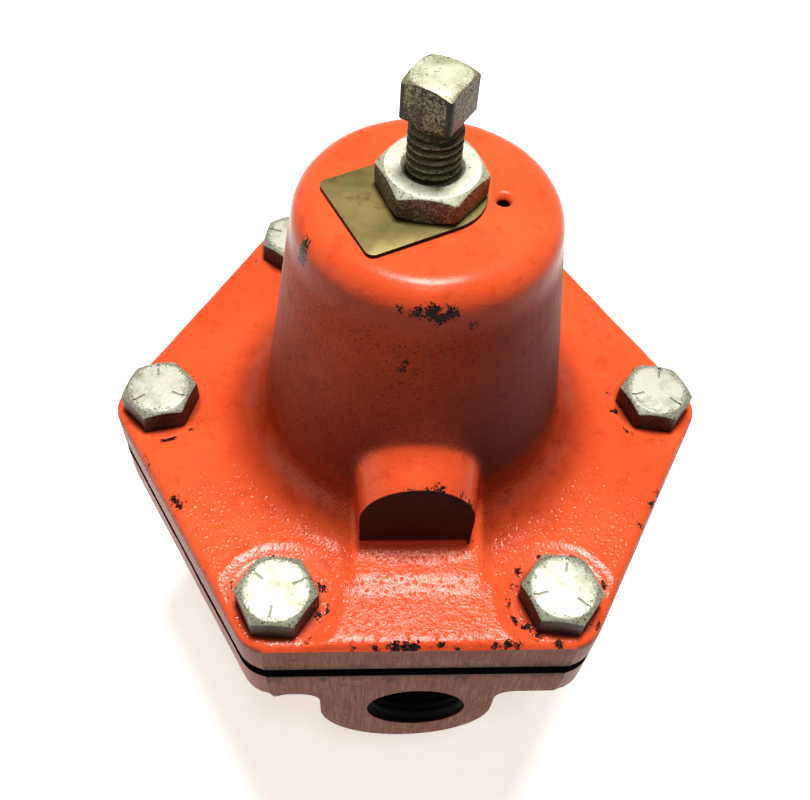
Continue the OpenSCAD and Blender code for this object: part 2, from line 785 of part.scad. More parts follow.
module seat_ring() color(brass_colour) difference() {
  union() {
    translate([0, 0, bridge_top_z])
      wrench_head(seat_hex_af, seat_hex_h, 6);
    translate([0, 0, bridge_z])
      cylinder(r = seat_thread_r, h = bridge_t + sink);
    translate([0, 0, seat_z])
      cylinder(r1 = orifice_r + seat_lip_t, r2 = seat_thread_r - sink, h = seat_lip_h + sink);
  }
  translate([0, 0, seat_z - cut])
    cylinder(r = orifice_r, h = seat_lip_h + bridge_t + seat_hex_h + 2 * cut);
}

module valve_plunger() color(brass_colour) difference() {
  union() {
    translate([0, 0, cup_z])
      cylinder(r = cup_r, h = cup_h);
    translate([0, 0, guide_end_z])
      cylinder(r = guide_r, h = cup_z - guide_end_z + sink);
    translate([0, 0, cup_z + sink])
      cylinder(r = stem_r, h = post_end_z - cup_z - sink);
  }
  translate([0, 0, seat_z - disc_t])
    ring(disc_r + loose_play, stem_r, disc_t + cut);
}

module seat_disc() color(rubber_colour)
  translate([0, 0, seat_z - disc_t])
    ring(disc_r, stem_r + loose_play, disc_t);

module disc_retainer() color(steel_colour)
  translate([0, 0, seat_z])
    difference() {
      wrench_head(retainer_r * 2 * cos(30), retainer_h, 6);
      translate([0, 0, -cut])
        cylinder(r = stem_r + thread_play, h = retainer_h + 2 * cut);
    }

module return_spring() color(steel_colour)
  translate([0, 0, pocket_z])
    coil_spring(return_r, return_wire_d, return_turns, cup_z - pocket_z,
      faces = 6, steps = 16);

module bottom_plug() color(paint_colour) difference() {
  union() {
    wrench_head(plug_af, plug_hex_h, 6, bottom = true, top = false);
    translate([0, 0, plug_hex_h - sink])
      cylinder(r = lower_bore_r - thread_play, h = plug_gasket_t + plug_spigot_l + sink);
  }
  translate([0, 0, pocket_z])
    cylinder(r = pocket_r, h = plug_spigot_l + cut);
  translate([0, 0, guide_floor_z])
    cylinder(r = guide_r + guide_play, h = guide_depth + cut);
}

module plug_gasket() color("#6b5a48")
  translate([0, 0, plug_hex_h])
    ring(plug_af / 2 - plug_gasket_inset, lower_bore_r + loose_play, plug_gasket_t);

valve_body();
spring_chamber();
adjusting_screw();
lock_nut();
tag_plate();
flange_bolts();
flange_nuts();
upper_gasket();
diaphragm();
lower_gasket();
spring_button();
range_spring();
pressure_plate();
lock_washer();
diaphragm_nut();
pusher_plate();
seat_ring();
valve_plunger();
seat_disc();
disc_retainer();
return_spring();
bottom_plug();
plug_gasket();
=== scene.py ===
# %% [markdown]
# # Dressing a cast-iron pressure regulator
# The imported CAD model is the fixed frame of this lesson: it holds the true sizes,
# the bodies and the joints. Blender adds what a drawing leaves out: sand-cast
# skin, rolled threads, stamped bolt heads, worn paint and dull zinc.
# Everything is in metres, with Z up and the regulator standing on z = 0.

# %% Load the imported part
import math
from types import SimpleNamespace

import bmesh
import bpy
import numpy as np
from mathutils import Matrix, Vector, noise


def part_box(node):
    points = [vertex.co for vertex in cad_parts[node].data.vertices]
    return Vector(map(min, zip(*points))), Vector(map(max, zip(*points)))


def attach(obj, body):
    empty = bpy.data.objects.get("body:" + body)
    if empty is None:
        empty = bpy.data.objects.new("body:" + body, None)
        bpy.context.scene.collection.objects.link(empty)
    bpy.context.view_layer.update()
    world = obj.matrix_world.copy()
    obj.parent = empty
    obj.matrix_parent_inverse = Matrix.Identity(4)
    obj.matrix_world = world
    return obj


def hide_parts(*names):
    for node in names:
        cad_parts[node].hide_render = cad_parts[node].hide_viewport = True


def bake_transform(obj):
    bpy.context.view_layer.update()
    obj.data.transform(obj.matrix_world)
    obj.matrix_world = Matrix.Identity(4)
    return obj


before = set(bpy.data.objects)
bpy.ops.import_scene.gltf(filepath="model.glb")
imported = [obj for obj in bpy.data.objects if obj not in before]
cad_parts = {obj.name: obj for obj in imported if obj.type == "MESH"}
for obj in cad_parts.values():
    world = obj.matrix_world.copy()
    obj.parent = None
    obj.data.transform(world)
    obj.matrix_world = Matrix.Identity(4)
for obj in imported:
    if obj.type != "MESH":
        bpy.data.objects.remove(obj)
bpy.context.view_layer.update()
scene = bpy.context.scene
MM = 0.001

# %% [markdown]
# ## Camera
# The regulator is seen from the front and well above, and from so near that the
# screw on top looks large and the flange below falls away. The camera's axes are
# worked out from three angles: yaw, pitch and a slight roll.

# %% Camera
yaw, pitch, roll = math.radians(5.843), math.radians(53.570), math.radians(4.921)
stand = Vector((-14.23, -126.09, 265.45)) * MM
gaze = Vector((math.sin(yaw) * math.cos(pitch), math.cos(yaw) * math.cos(pitch), -math.sin(pitch)))
level = Vector((math.cos(yaw), -math.sin(yaw), 0))
upright = level.cross(gaze)
side = math.cos(roll) * level + math.sin(roll) * upright
top = math.cos(roll) * upright - math.sin(roll) * level
camera = bpy.data.objects.new("camera", bpy.data.cameras.new("camera"))
camera.data.lens = 42.04
camera.data.sensor_width = 36
camera.data.clip_start = 0.01
camera.matrix_world = Matrix.Translation(stand) @ Matrix((side, top, -gaze)).transposed().to_4x4()
scene.collection.objects.link(camera)
scene.camera = camera
print("camera stands", round(camera.location.z, 3), "m above the floor")

# %% [markdown]
# ## Shader maths
# A finish is a small graph of nodes. Writing it as Python expressions keeps it
# readable: Value wraps a number socket and turns + - * / into Math nodes, and
# Finish adds any other node from its type, its settings and its values.

# %% A value that reads like a number
class Value:
    """The output of a shader node, on which sums can be written."""

    def __init__(self, finish, socket):
        self.finish = finish
        self.socket = socket

    def __add__(self, other):
        return self.finish.maths("ADD", self, other)

    def __sub__(self, other):
        return self.finish.maths("SUBTRACT", self, other)

    def __rsub__(self, other):
        return self.finish.maths("SUBTRACT", other, self)

    def __mul__(self, other):
        return self.finish.maths("MULTIPLY", self, other)

    def __truediv__(self, other):
        return self.finish.maths("DIVIDE", self, other)

    __radd__ = __add__
    __rmul__ = __mul__


# %% A graph of nodes, for materials and for geometry
class Graph:
    """Adds nodes to a tree: a type, then its settings, then its sockets."""

    def __init__(self, tree):
        self.tree = tree

    def node(self, kind, settings=None, values=None, output=0):
        made = self.tree.nodes.new(kind)
        for key, value in (settings or {}).items():
            setattr(made, key, value)
        for key, value in (values or {}).items():
            if isinstance(value, Value):
                self.tree.links.new(value.socket, made.inputs[key])
            else:
                made.inputs[key].default_value = value
        return Value(self, made.outputs[output])

    def maths(self, operation, *terms):
        return self.node("ShaderNodeMath", {"operation": operation}, dict(enumerate(terms)))

    def unsigned(self, value):
        return self.maths("ABSOLUTE", value)

    def clamped(self, value):
        """The value, kept between 0 and 1."""
        return self.maths("MINIMUM", self.maths("MAXIMUM", value, 0.0), 1.0)
    def axes(self, vector):
        parts = self.node("ShaderNodeSeparateXYZ", values={0: vector})
        outputs = parts.socket.node.outputs
        return [Value(self, outputs[i]) for i in range(3)]


# %% A finish: one material and its nodes
class Finish(Graph):
    """A material with one Principled shader, built node by node."""

    def __init__(self, name, **constants):
        self.material = bpy.data.materials.new(name)
        self.material.use_nodes = True
        super().__init__(self.material.node_tree)
        self.shader = self.tree.nodes["Principled BSDF"]
        for socket, value in constants.items():
            self.shader.inputs[socket.replace("_", " ")].default_value = value
        self.place = self.node("ShaderNodeTexCoord", output="Object")
        self.x, self.y, self.z = self.axes(self.place)

    def scaled(self, x, y, z, vector=None):
        return self.node("ShaderNodeVectorMath", {"operation": "MULTIPLY"},
                         {0: vector or self.place, 1: (x, y, z)})

    def clouds(self, size, detail=2.0, roughness=0.5, vector=None):
        return self.node("ShaderNodeTexNoise", values={
            "Vector": vector or self.place, "Scale": 1 / size, "Detail": detail, "Roughness": roughness})

    def grains(self, size, vector):
        return self.node("ShaderNodeTexVoronoi", values={
            "Vector": vector, "Scale": 1 / size}, output="Distance")

    def bent(self, size, amount):
        """The place, shifted by coloured clouds, so that a regular pattern turns irregular."""
        shift = self.node("ShaderNodeTexNoise", values={
            "Vector": self.place, "Scale": 1 / size, "Detail": 1.0}, output="Color")
        shift = self.node("ShaderNodeVectorMath", {"operation": "SCALE"}, {0: shift, "Scale": size * amount})
        return self.node("ShaderNodeVectorMath", {"operation": "ADD"}, {0: self.place, 1: shift})

    def rise(self, value, low, high):
        """0 below low, 1 above high, and a smooth step between them."""
        return self.node("ShaderNodeMapRange", {"interpolation_type": "SMOOTHSTEP"}, {
            "Value": value, "From Min": low, "From Max": high})

    def fall(self, value, low, high):
        """The other way round: 1 below low and 0 above high."""
        return 1 - self.rise(value, low, high)

    def above(self, face, low, high):
        """Rises between two heights that are counted in mm from a level face."""
        return self.rise(self.z, face + low * MM, face + high * MM)

    def below(self, face, low, high):
        return 1 - self.above(face, low, high)

    def larger(self, *terms):
        most = terms[0]
        for term in terms[1:]:
            most = self.maths("MAXIMUM", most, term)
        return most

    def blend(self, mask, under, over):
        made = self.tree.nodes.new("ShaderNodeMix")
        made.data_type = "RGBA"
        for index, value in ((0, mask), (6, under), (7, over)):
            if isinstance(value, Value):
                self.tree.links.new(value.socket, made.inputs[index])
            else:
                made.inputs[index].default_value = (*value, 1)
        return Value(self, made.outputs[2])

    def away(self, point):
        """Distance in metres from a point."""
        return self.node("ShaderNodeVectorMath", {"operation": "DISTANCE"},
                         {0: self.place, 1: point}, output="Value")

    def from_axis(self):
        """Distance in metres from the upright axis."""
        return self.maths("SQRT", self.x * self.x + self.y * self.y)

    def facing_up(self):
        """1 on a face that looks up, 0 on an upright one, -1 on one that looks down."""
        return self.axes(self.node("ShaderNodeNewGeometry", output="Normal"))[2]

    def set(self, **sockets):
        for socket, value in sockets.items():
            self.tree.links.new(value.socket, self.shader.inputs[socket.replace("_", " ")])

    def relief(self, height, depth):
        """Raises the surface by height times depth, in metres."""
        self.set(Normal=self.node("ShaderNodeBump", values={"Height": height, "Distance": depth}))


def rgb(red, green, blue):
    """A colour given in 0-255 screen values, as the shader's linear values."""
    return tuple(((c / 255 + 0.055) / 1.055) ** 2.4 if c > 10 else c / 3295 for c in (red, green, blue))


# %% [markdown]
# ## Where the main faces lie
# The frame says where every piece is, so the heights come from its boxes. A box
# doesn't show how thick the flange is, how wide a bolt seat is, or where the bolts
# and ports have their axes. Those few sizes repeat the drawing's.

# %% Heights and radii
chamber_low, chamber_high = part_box("spring_chamber")
body_low, body_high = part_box("valve_body")
bolts_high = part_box("flange_bolts")[1]
nuts_low, nuts_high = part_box("flange_nuts")
HEAD_HEIGHT, FLANGE_THICKNESS = 6 * MM, 10.4 * MM
CROWN, GROUND = chamber_high.z, chamber_high.y  # top of the bell, ground faces front and back
JOINT_TOP, JOINT_BOTTOM = chamber_low.z, body_high.z
FLANGE_TOP = JOINT_TOP + FLANGE_THICKNESS
SEAT = bolts_high.z - HEAD_HEIGHT  # where the bolt heads rest
SEAT_R, DISH_R = 9.8 * MM, 13.1 * MM  # its flat middle, and the dish round it
BOLT_CIRCLE = 55.497 * MM
PORT_Z = 58.3 * MM
print("flange top", round(FLANGE_TOP / MM, 2), "crown", round(CROWN / MM, 2), "seat", round(SEAT / MM, 2))

# %% [markdown]
# ## Paint on sand-cast iron
# The real housing is grey iron poured in a sand mould, so its skin is pebbled, and
# it wears one coat of orange-red enamel. Enamel is thin: it follows each pebble,
# pools in the hollows and chips off at edges down to dark oxide. So the finish has
# a pebble relief, a colour that drifts from place to place, chips that are set
# where a spanner or a knock reaches, and bare ground faces at the front and back.

# %% Where a point is on the casting
def from_spoke(finish, first):
    """Angle from the nearest of six spokes that are 60 degrees apart, one of them at first."""
    turned = finish.maths("ARCTAN2", finish.y, finish.x) + math.radians(30 - first)
    return finish.maths("FLOORED_MODULO", turned, math.radians(60)) - math.radians(30)


def bolt_distance(finish):
    """Distance from the nearest of the six bolt axes, seen from above."""
    reach = finish.from_axis()
    across = finish.maths("COSINE", from_spoke(finish, 0)) * reach * (-2 * BOLT_CIRCLE)
    return finish.maths("SQRT", reach * reach + BOLT_CIRCLE ** 2 + across)


def knocks(finish, ragged, places):
    """A mask of ragged chips: each place is a point in mm and a radius in mm."""
    nearest = None
    for x, y, z, radius in places:
        gap = finish.away((x * MM, y * MM, z * MM)) - radius * MM
        nearest = gap if nearest is None else finish.maths("MINIMUM", nearest, gap)
    return finish.fall(nearest + ragged * 5.5 * MM, -0.1 * MM, 0.1 * MM)


# %% Zones of the castings
def casting_zones(paint):
    """The distances, clouds and masks that several layers of the paint share."""
    zone = SimpleNamespace(from_bolt=bolt_distance(paint), reach=paint.from_axis())
    zone.drift = paint.clouds(0.022, 3)
    zone.dapple = paint.clouds(0.0035, 3, 0.6)
    zone.grain = paint.clouds(0.00045, 2, 0.6)
    zone.ragged = paint.clouds(0.0007, 3, 0.75) - 0.5
    zone.top = paint.above(FLANGE_TOP, -1, -0.5)
    zone.bell = paint.above(FLANGE_TOP, 8, 16)
    zone.crown = paint.above(CROWN, -3, -0.5)
    zone.lug = paint.fall(paint.y, -30 * MM, -27.5 * MM) * paint.fall(
        paint.unsigned(paint.x), 12.5 * MM, 14 * MM)
    zone.lug_face = paint.fall(paint.y, -36.15 * MM, -35.9 * MM) * paint.above(FLANGE_TOP, 2.2, 3.2)
    zone.wall = zone.bell * paint.below(CROWN, -12, -5) * (1 - zone.lug)
    zone.flank = paint.fall(paint.unsigned(paint.facing_up()), 0.25, 0.5) * paint.rise(
        zone.reach, 55 * MM, 57 * MM)
    zone.ground = paint.rise(paint.unsigned(paint.y), GROUND - 0.06 * MM, GROUND - 0.03 * MM) * paint.fall(
        paint.z + zone.ragged * 2.5 * MM, FLANGE_TOP - 1.7 * MM, FLANGE_TOP - 1.5 * MM)
    return zone


# %% Enamel
def enamel(paint, zone):
    """The paint's colour, with dark specks, soot and painted shade round the bolts, painted shade at the
    bell's foot and low on the bell, and a near-black lug face.
    """
    fresh, dull, deep = (0.73, 0.114, 0.038), (0.67, 0.094, 0.030), (0.46, 0.046, 0.012)
    colour = paint.blend(paint.rise(zone.drift, 0.35, 0.65), fresh, dull)
    colour = paint.blend(paint.rise(zone.dapple, 0.52, 0.75) * 0.45, colour, deep)
    specks = paint.rise(paint.clouds(0.00055, 3, 0.75) + zone.drift * 0.08, 0.60, 0.67)
    colour = paint.blend(specks * (0.12 + zone.wall * 0.65), colour, rgb(34, 12, 8))
    # Darker ring round each bolt head: soot and painted shade.
    soot_and_shade = paint.fall(zone.from_bolt, 7.4 * MM, 9.4 * MM) * zone.top
    colour = paint.blend(soot_and_shade * 0.65, colour, rgb(60, 22, 12))
    # Painted shade at the bell's foot fillet and up the right side of its wall.
    root = paint.fall(zone.reach, 34 * MM, 47 * MM) * paint.below(FLANGE_TOP, 4, 52)
    root = paint.larger(root, zone.wall * paint.rise(paint.x, -8 * MM, 16 * MM) * 0.8)
    root = root * (1 - zone.lug) * zone.top
    colour = paint.blend(root * (0.55 + zone.dapple * 0.3), colour, (0.14, 0.018, 0.006))
    # Painted shade: the bell's wall is darker towards the bottom, and more so on its right.
    low_wall_shade = zone.wall * paint.fall(paint.z, FLANGE_TOP + 12 * MM, CROWN - 8 * MM)
    low_wall_shade = low_wall_shade * (paint.rise(paint.x, -22 * MM, 4 * MM) * 0.65 + 0.25)
    colour = paint.blend(low_wall_shade * (1 - zone.lug), colour, (0.085, 0.022, 0.012))
    # The lug's front face is made near-black: partly blackened iron, partly painted shade.
    return paint.blend(zone.lug_face * 0.93, colour, rgb(24, 9, 6))


def worn_away(paint, zone, places):
    """Where the paint is gone: at the knocks, round the bolt seats and along the flange's edge."""
    rim = paint.fall(paint.unsigned(zone.from_bolt - SEAT_R - 0.3 * MM), 0.25 * MM, 0.8 * MM)
    rim = rim * paint.rise(paint.clouds(0.0042, 2, 0.5) + zone.ragged * 0.5, 0.57, 0.63) * zone.top
    from_axis = paint.maths("COSINE", from_spoke(paint, 30)) * zone.reach
    edge = paint.rise(from_axis, GROUND - 1.5 * MM, GROUND - 0.9 * MM)
    edge = edge * paint.above(FLANGE_TOP, -2, -1.5)
    edge = edge * paint.rise(paint.clouds(0.006, 2, 0.5) + zone.ragged * 0.6, 0.68, 0.73)
    return paint.larger(knocks(paint, zone.ragged, places), rim, edge)


# %% Ground faces and bare iron
def ground_iron(paint, zone, streaks, pits):
    """The ground faces: brushed, stained, and run with what seeps from the joint."""
    bare = paint.blend(paint.rise(streaks, 0.34, 0.66), rgb(168, 114, 94), rgb(120, 74, 60))
    blotch = paint.rise(paint.clouds(0.011, 3, 0.6), 0.42, 0.66)
    bare = paint.blend(blotch * 0.5, bare, rgb(134, 62, 48))
    bare = paint.blend(pits * 0.5, bare, rgb(60, 36, 30))
    middle, half = (JOINT_TOP + JOINT_BOTTOM) / 2, (JOINT_TOP - JOINT_BOTTOM) / 2
    to_joint = paint.unsigned(paint.z - middle) - half
    runs = paint.clouds(1.0, 2, 0.6, vector=paint.scaled(420, 420, 60))
    drips = paint.fall(to_joint - paint.rise(runs, 0.45, 0.75) * 3.0 * MM, 0.1 * MM, 2.2 * MM)
    return paint.blend(drips * 0.7, bare, rgb(44, 27, 22))


def never_painted(paint, zone):
    """The port bores, the bell's threaded hole and hollow, and the joint faces."""
    above = paint.z - PORT_Z
    from_port = paint.maths("SQRT", paint.x * paint.x + above * above)
    bore = paint.fall(from_port, 12 * MM, 12.4 * MM) * paint.fall(
        paint.unsigned(paint.y), GROUND - 0.25 * MM, GROUND - 0.08 * MM)
    inside = paint.fall(zone.reach, 20 * MM, 21 * MM) * paint.below(CROWN, -1.6, -1.0)
    joint = paint.above(JOINT_BOTTOM, -0.25, -0.1) * paint.below(JOINT_TOP, 0.1, 0.25)
    return paint.larger(bore, inside, joint)


# %% Sand-cast skin
def cast_skin(paint, zone, worn):
    """The relief of the painted skin: pebbles, grain and dents, and the rims of the bolt seats."""
    pebble = paint.fall(paint.grains(0.0011, paint.bent(0.0012, 0.6)), 0.05, 0.45)
    dents = paint.clouds(0.0022, 2, 0.5)
    seat = paint.fall(zone.from_bolt, DISH_R - 1.5 * MM, DISH_R + 1.0 * MM) * zone.top
    fore = paint.fall(paint.y, -36 * MM, -6 * MM)
    coarse = (1 - seat * 0.5) * (1 - zone.crown * 0.5) * (fore * (1 - zone.bell * 0.7) * 0.75 + 0.25)
    lip = paint.fall(paint.unsigned(zone.from_bolt - DISH_R + 0.3 * MM), 0, 1.6 * MM)
    ledge = paint.rise(zone.from_bolt, SEAT_R - 0.1 * MM, SEAT_R + 0.7 * MM) * 0.6 + lip * 0.5
    skin = (pebble * 0.17 + zone.grain * 0.15 + dents * 0.2) * coarse
    return skin + worn * (zone.grain * 0.6 - 0.5) + ledge * zone.top * 0.25


# %% Orange paint, layer by layer
def orange_paint(name, chips):
    paint = Finish(name, IOR=1.28)
    zone = casting_zones(paint)
    worn = worn_away(paint, zone, chips)
    iron = paint.blend(paint.rise(zone.grain, 0.4, 0.6), rgb(18, 13, 11), rgb(52, 38, 30))
    colour = paint.blend(worn, enamel(paint, zone), iron)
    streaks = paint.clouds(1.0, 3, 0.75, vector=paint.scaled(1500, 1500, 90))
    pits = paint.rise(paint.clouds(0.0014, 3, 0.7), 0.60, 0.68)
    # The flanges' upright sides get a dull mauve red with streaks: painted shade and painted sheen.
    colour = paint.blend(zone.flank * (streaks * 0.5 + 0.35), colour, rgb(136, 58, 44))
    colour = paint.blend(zone.ground, colour, ground_iron(paint, zone, streaks, pits))
    hidden = never_painted(paint, zone)
    # Bare iron made near-black; in the port bores this darkness is painted shade.
    colour = paint.blend(hidden, colour, rgb(20, 14, 12))
    rough = 0.18 + zone.dapple * 0.07 + zone.wall * 0.3 + hidden * 0.4 + zone.flank * 0.2
    rough = rough + zone.crown * 0.08 + zone.lug_face * 0.5 + zone.ground * 0.15
    paint.set(Base_Color=colour, Roughness=rough, Metallic=zone.ground * 0.28 + worn * 0.4)
    skin, brushed = cast_skin(paint, zone, worn), streaks * 0.3 + pits * -0.3
    paint.relief(skin * (1 - zone.ground) + brushed * zone.ground, 0.48 * MM)
    return paint.material


# %% [markdown]
# ## Dull zinc, brass and the inside metals
# The fasteners are zinc plated steel that has gone chalky. Zinc is nearly white and
# full of small dark pits. Its tops are painted light and its sides dark, which is painted
# light and shade from the lamp above, with some dirt on the sides. The tag is thin brass
# with a brown film, and its edges are painted dark as painted shade. The parts inside the housing get plain
# turned steel, bronze, rubber and fibre, each with its own fine grain.

# %% Zinc plate
def zinc(name, light, shade, edge, dark, fleck, pitting=0.5, dusty=0.35,
         groove=None, core=None, corners=None):
    """light and shade on top, edge on the chamfers, dark with flecks on the sides; the dark
    sides are painted shade with some dirt. groove: heights between which stamped marks are darker;
    core: radii and a height below which thread roots are darker; corners: the radius where a head's edges
    start."""
    plate = Finish(name, Metallic=0.25)
    speck, fine = plate.clouds(0.0008, 3, 0.65), plate.clouds(0.0004, 2, 0.6)
    cloudy = plate.clouds(0.004, 3, 0.6)
    up, reach = plate.facing_up(), plate.from_axis()
    dust = plate.rise(plate.clouds(0.0004, 3, 0.8) + cloudy * 0.3, 0.58, 0.74)
    colour = plate.blend(plate.rise(cloudy, 0.42, 0.7), light, shade)
    colour = plate.blend(dust * plate.rise(reach, 1.5 * MM, 5 * MM) * dusty, colour, edge)
    worn_edge = plate.blend(plate.rise(fine, 0.5, 0.68) * 0.8, edge, dark)
    # A face's colour follows which way it looks: light on top, greyer on the chamfers and dark on the sides,
    # which is painted light and shade with some dirt.
    colour = plate.blend(plate.fall(up + cloudy * 0.06, 0.93, 1.0), colour, worn_edge)
    flecks = plate.rise(plate.clouds(0.0005, 3, 0.8) + cloudy * 0.35, 0.64, 0.76)
    flank = plate.blend(flecks, dark, fleck)
    if corners:
        edges = plate.rise(reach + (fine - 0.5) * 0.6 * MM, corners, corners + 0.3 * MM)
        flank = plate.blend(edges * 0.9, flank, rgb(16, 13, 10))
    colour = plate.blend(plate.fall(up, 0.25, 0.5), colour, flank)
    pits = plate.rise(speck, 0.61, 0.67) * pitting
    if groove:
        low, high = groove
        from_bolt = bolt_distance(plate)
        ring = plate.rise(from_bolt + (fine + cloudy - 1) * 3.2 * MM, 5.7 * MM, 6.1 * MM)
        colour = plate.blend(ring * plate.rise(up, 0.5, 0.7) * 0.8, colour, worn_edge)
        sunk = plate.above(low, 0, 0.02) * plate.below(high, -0.04, 0)
        pits = plate.larger(pits, sunk * plate.fall(from_bolt, 6.25 * MM, 6.35 * MM) * 0.5)
    if core:
        inner, outer, top = core
        rooted = plate.fall(reach, inner, outer) * plate.below(top, -0.2, 0)
        pits = plate.larger(pits, rooted * 0.65)
    colour = plate.blend(pits, colour, rgb(30, 24, 16))
    plate.set(Base_Color=colour, Roughness=0.34 + cloudy * 0.25 + pits * 0.3)
    plate.relief(speck * -0.7 + fine * 0.4, 0.10 * MM)
    return plate.material


# %% Brass, steel, rubber and fibre
def brass(name):
    sheet = Finish(name, Metallic=0.5)
    film = sheet.clouds(0.007, 4, 0.6)
    fine = sheet.clouds(1.0, 3, 0.6, vector=sheet.scaled(500, 2500, 1500))
    stain = sheet.rise(sheet.clouds(0.004, 4, 0.7), 0.55, 0.72)
    colour = sheet.blend(sheet.rise(film, 0.3, 0.7), rgb(134, 120, 72), rgb(108, 96, 54))
    colour = sheet.blend(stain * 0.6, colour, rgb(70, 52, 24))
    # The plate's edges, which face sideways, are painted dark: painted shade.
    colour = sheet.blend(sheet.fall(sheet.facing_up(), 0.3, 0.75), colour, rgb(34, 24, 12))
    sheet.set(Base_Color=colour, Roughness=0.42 + film * 0.25)
    sheet.relief(fine * 0.4 + stain * -0.3, 0.05 * MM)
    return sheet.material


def turned_metal(name, light, dark, rough=0.35, metallic=0.9):
    metal = Finish(name, Metallic=metallic)
    film = metal.clouds(0.008, 3, 0.6)
    rings = metal.clouds(1.0, 2, 0.5, vector=metal.scaled(150, 150, 4000))
    metal.set(Base_Color=metal.blend(film, light, dark), Roughness=rough + film * 0.2)
    metal.relief(rings, 0.03 * MM)
    return metal.material


def soft_stock(name, light, dark, grain=0.0009, rough=0.75):
    stock = Finish(name)
    speck = stock.clouds(grain, 3, 0.65)
    stock.set(Base_Color=stock.blend(speck, light, dark), Roughness=rough + speck * 0.15)
    stock.relief(speck, 0.08 * MM)
    return stock.material


# %% Chips in the paint
CHAMBER_CHIPS = [  # x, y, z and radius in mm
    (-0.3, -24.3, 150.5, 1.5), (2.5, -24.2, 150.6, 1.1), (-3, -24.2, 150.6, 1.0), (1, -24.6, 149.6, 1.2),
    (6.5, -24, 147.6, 0.5), (-6, -23.7, 150.6, 0.4), (-21.5, -10.1, 151.9, 1.0), (-21.8, -10.3, 150.4, 1.3),
    (-22.2, -10.5, 148.8, 1.1), (17.1, -20.3, 136, 0.2), (18.4, -19, 136.6, 0.3), (20.3, -17, 136.5, 0.3),
    (21.4, -15.6, 136.5, 0.2), (-4.9, -25.8, 137.8, 0.4), (-4.3, -25.6, 139.6, 0.3),
    (-5.4, -35.8, 112.2, 0.5), (-2.8, -35.6, 113.2, 1.1), (0.8, -35.5, 113.5, 1.0), (2.6, -35.3, 113.4, 1.3),
    (6.4, -35.5, 110.9, 1.1), (8.6, -35.7, 108.6, 0.9), (10.1, -36, 104.5, 0.8), (9.9, -36, 97, 0.7),
    (10.4, -36.1, 95, 0.5), (-12.9, -57.4, 91.9, 0.4), (-8.7, -57.5, 91.8, 0.6), (-5.1, -57.4, 91.8, 1.1),
    (-3, -57.4, 91.8, 1.0), (-1.2, -57.4, 91.8, 1.0), (3.7, -57, 92.2, 0.6), (6.8, -57.6, 91.6, 0.4),
    (14.4, -57.5, 91.8, 0.7), (16.8, -57.2, 92.1, 0.9), (18.6, -57.3, 92, 0.6), (47.2, -31.4, 92.4, 0.4),
    (50.8, -26.4, 92.1, 0.7), (52.7, -23.6, 91.8, 0.6), (-50, -25.2, 92.5, 0.9), (-48.9, -26.4, 92.4, 0.7),
    (26.7, -57.2, 92.1, 0.8), (-19.3, -45, 92.4, 0.8), (-19.6, -50.9, 92.2, 0.7), (18.6, -45.2, 92.3, 0.5),
    (20.8, -53.6, 92.2, 0.8), (22.8, -55.5, 92.2, 0.7), (20.4, -42.1, 92.4, 0.5), (46.8, -2, 92.3, 0.5),
]
BODY_CHIPS = [(0, -57, 40, 1.5)]
print("chips:", len(CHAMBER_CHIPS) + len(BODY_CHIPS))

# %% Make the finishes
DASHES = SEAT + 5.6 * MM, SEAT + 5.95 * MM  # heights between which the heads are stamped
THREAD_ROOTS = 3.65 * MM, 4.1 * MM, CROWN + 16 * MM  # inner and outer radius, and the top
FINISHES = {
    "spring_chamber": orange_paint("chamber_paint", CHAMBER_CHIPS),
    "valve_body": orange_paint("body_paint", BODY_CHIPS),
    "flange_bolts": zinc("bolt_zinc", rgb(202, 202, 182), rgb(172, 172, 148), rgb(150, 151, 130),
                         rgb(16, 12, 9), rgb(80, 74, 58), 0.2, 0.1, groove=DASHES),
    "lock_nut": zinc("lock_nut_zinc", rgb(226, 228, 206), rgb(196, 199, 178), rgb(172, 172, 148),
                     rgb(84, 68, 52), rgb(150, 142, 120), 0.6, 0.45),
    "adjusting_screw": zinc("screw_zinc", rgb(200, 202, 176), rgb(164, 166, 138), rgb(128, 120, 90),
                            rgb(46, 41, 28), rgb(164, 158, 128), 0.7, 0.8,
                            core=THREAD_ROOTS, corners=5.85 * MM),
    "flange_nuts": zinc("nut_zinc", rgb(206, 202, 184), rgb(170, 166, 150), rgb(150, 146, 126),
                        rgb(84, 72, 54), rgb(140, 130, 108), 0.4),
    "tag_plate": brass("tag_brass"),
}
# Near-black iron for the tapped ports, darker than bare iron: painted shade inside the bores.
PORT_IRON_SHADED = soft_stock("port_iron", rgb(12, 10, 9), rgb(5, 4, 4), rough=0.85)
STEEL = turned_metal("inner_steel", rgb(150, 150, 150), rgb(110, 110, 112))
SPRING = turned_metal("spring_steel", rgb(88, 88, 92), rgb(52, 50, 52), 0.4)
BRONZE = turned_metal("trim_brass", rgb(196, 160, 92), rgb(150, 118, 60), 0.3)
FIBRE = soft_stock("gasket_fibre", rgb(70, 58, 48), rgb(34, 28, 24))
RUBBER = soft_stock("rubber_sheet", rgb(34, 33, 32), rgb(20, 19, 19), rough=0.6)
for material, nodes in (
        (STEEL, ["spring_button", "pressure_plate", "lock_washer", "diaphragm_nut", "disc_retainer"]),
        (BRONZE, ["seat_ring", "valve_plunger", "pusher_plate"]),
        (FIBRE, ["upper_gasket", "lower_gasket", "plug_gasket"]),
        (RUBBER, ["seat_disc", "diaphragm"]),
        (SPRING, ["range_spring", "return_spring"]),
        (FINISHES["valve_body"], ["bottom_plug"])):  # the plug is painted together with the body
    FINISHES.update(dict.fromkeys(nodes, material))
print("nodes that have a finish:", len(FINISHES))

# %% [markdown]
# ## Mesh helpers
# A CAD node arrives as loose triangles. A welded copy is one skin that modifiers
# can work on. baked() turns an object with modifiers into a plain mesh.

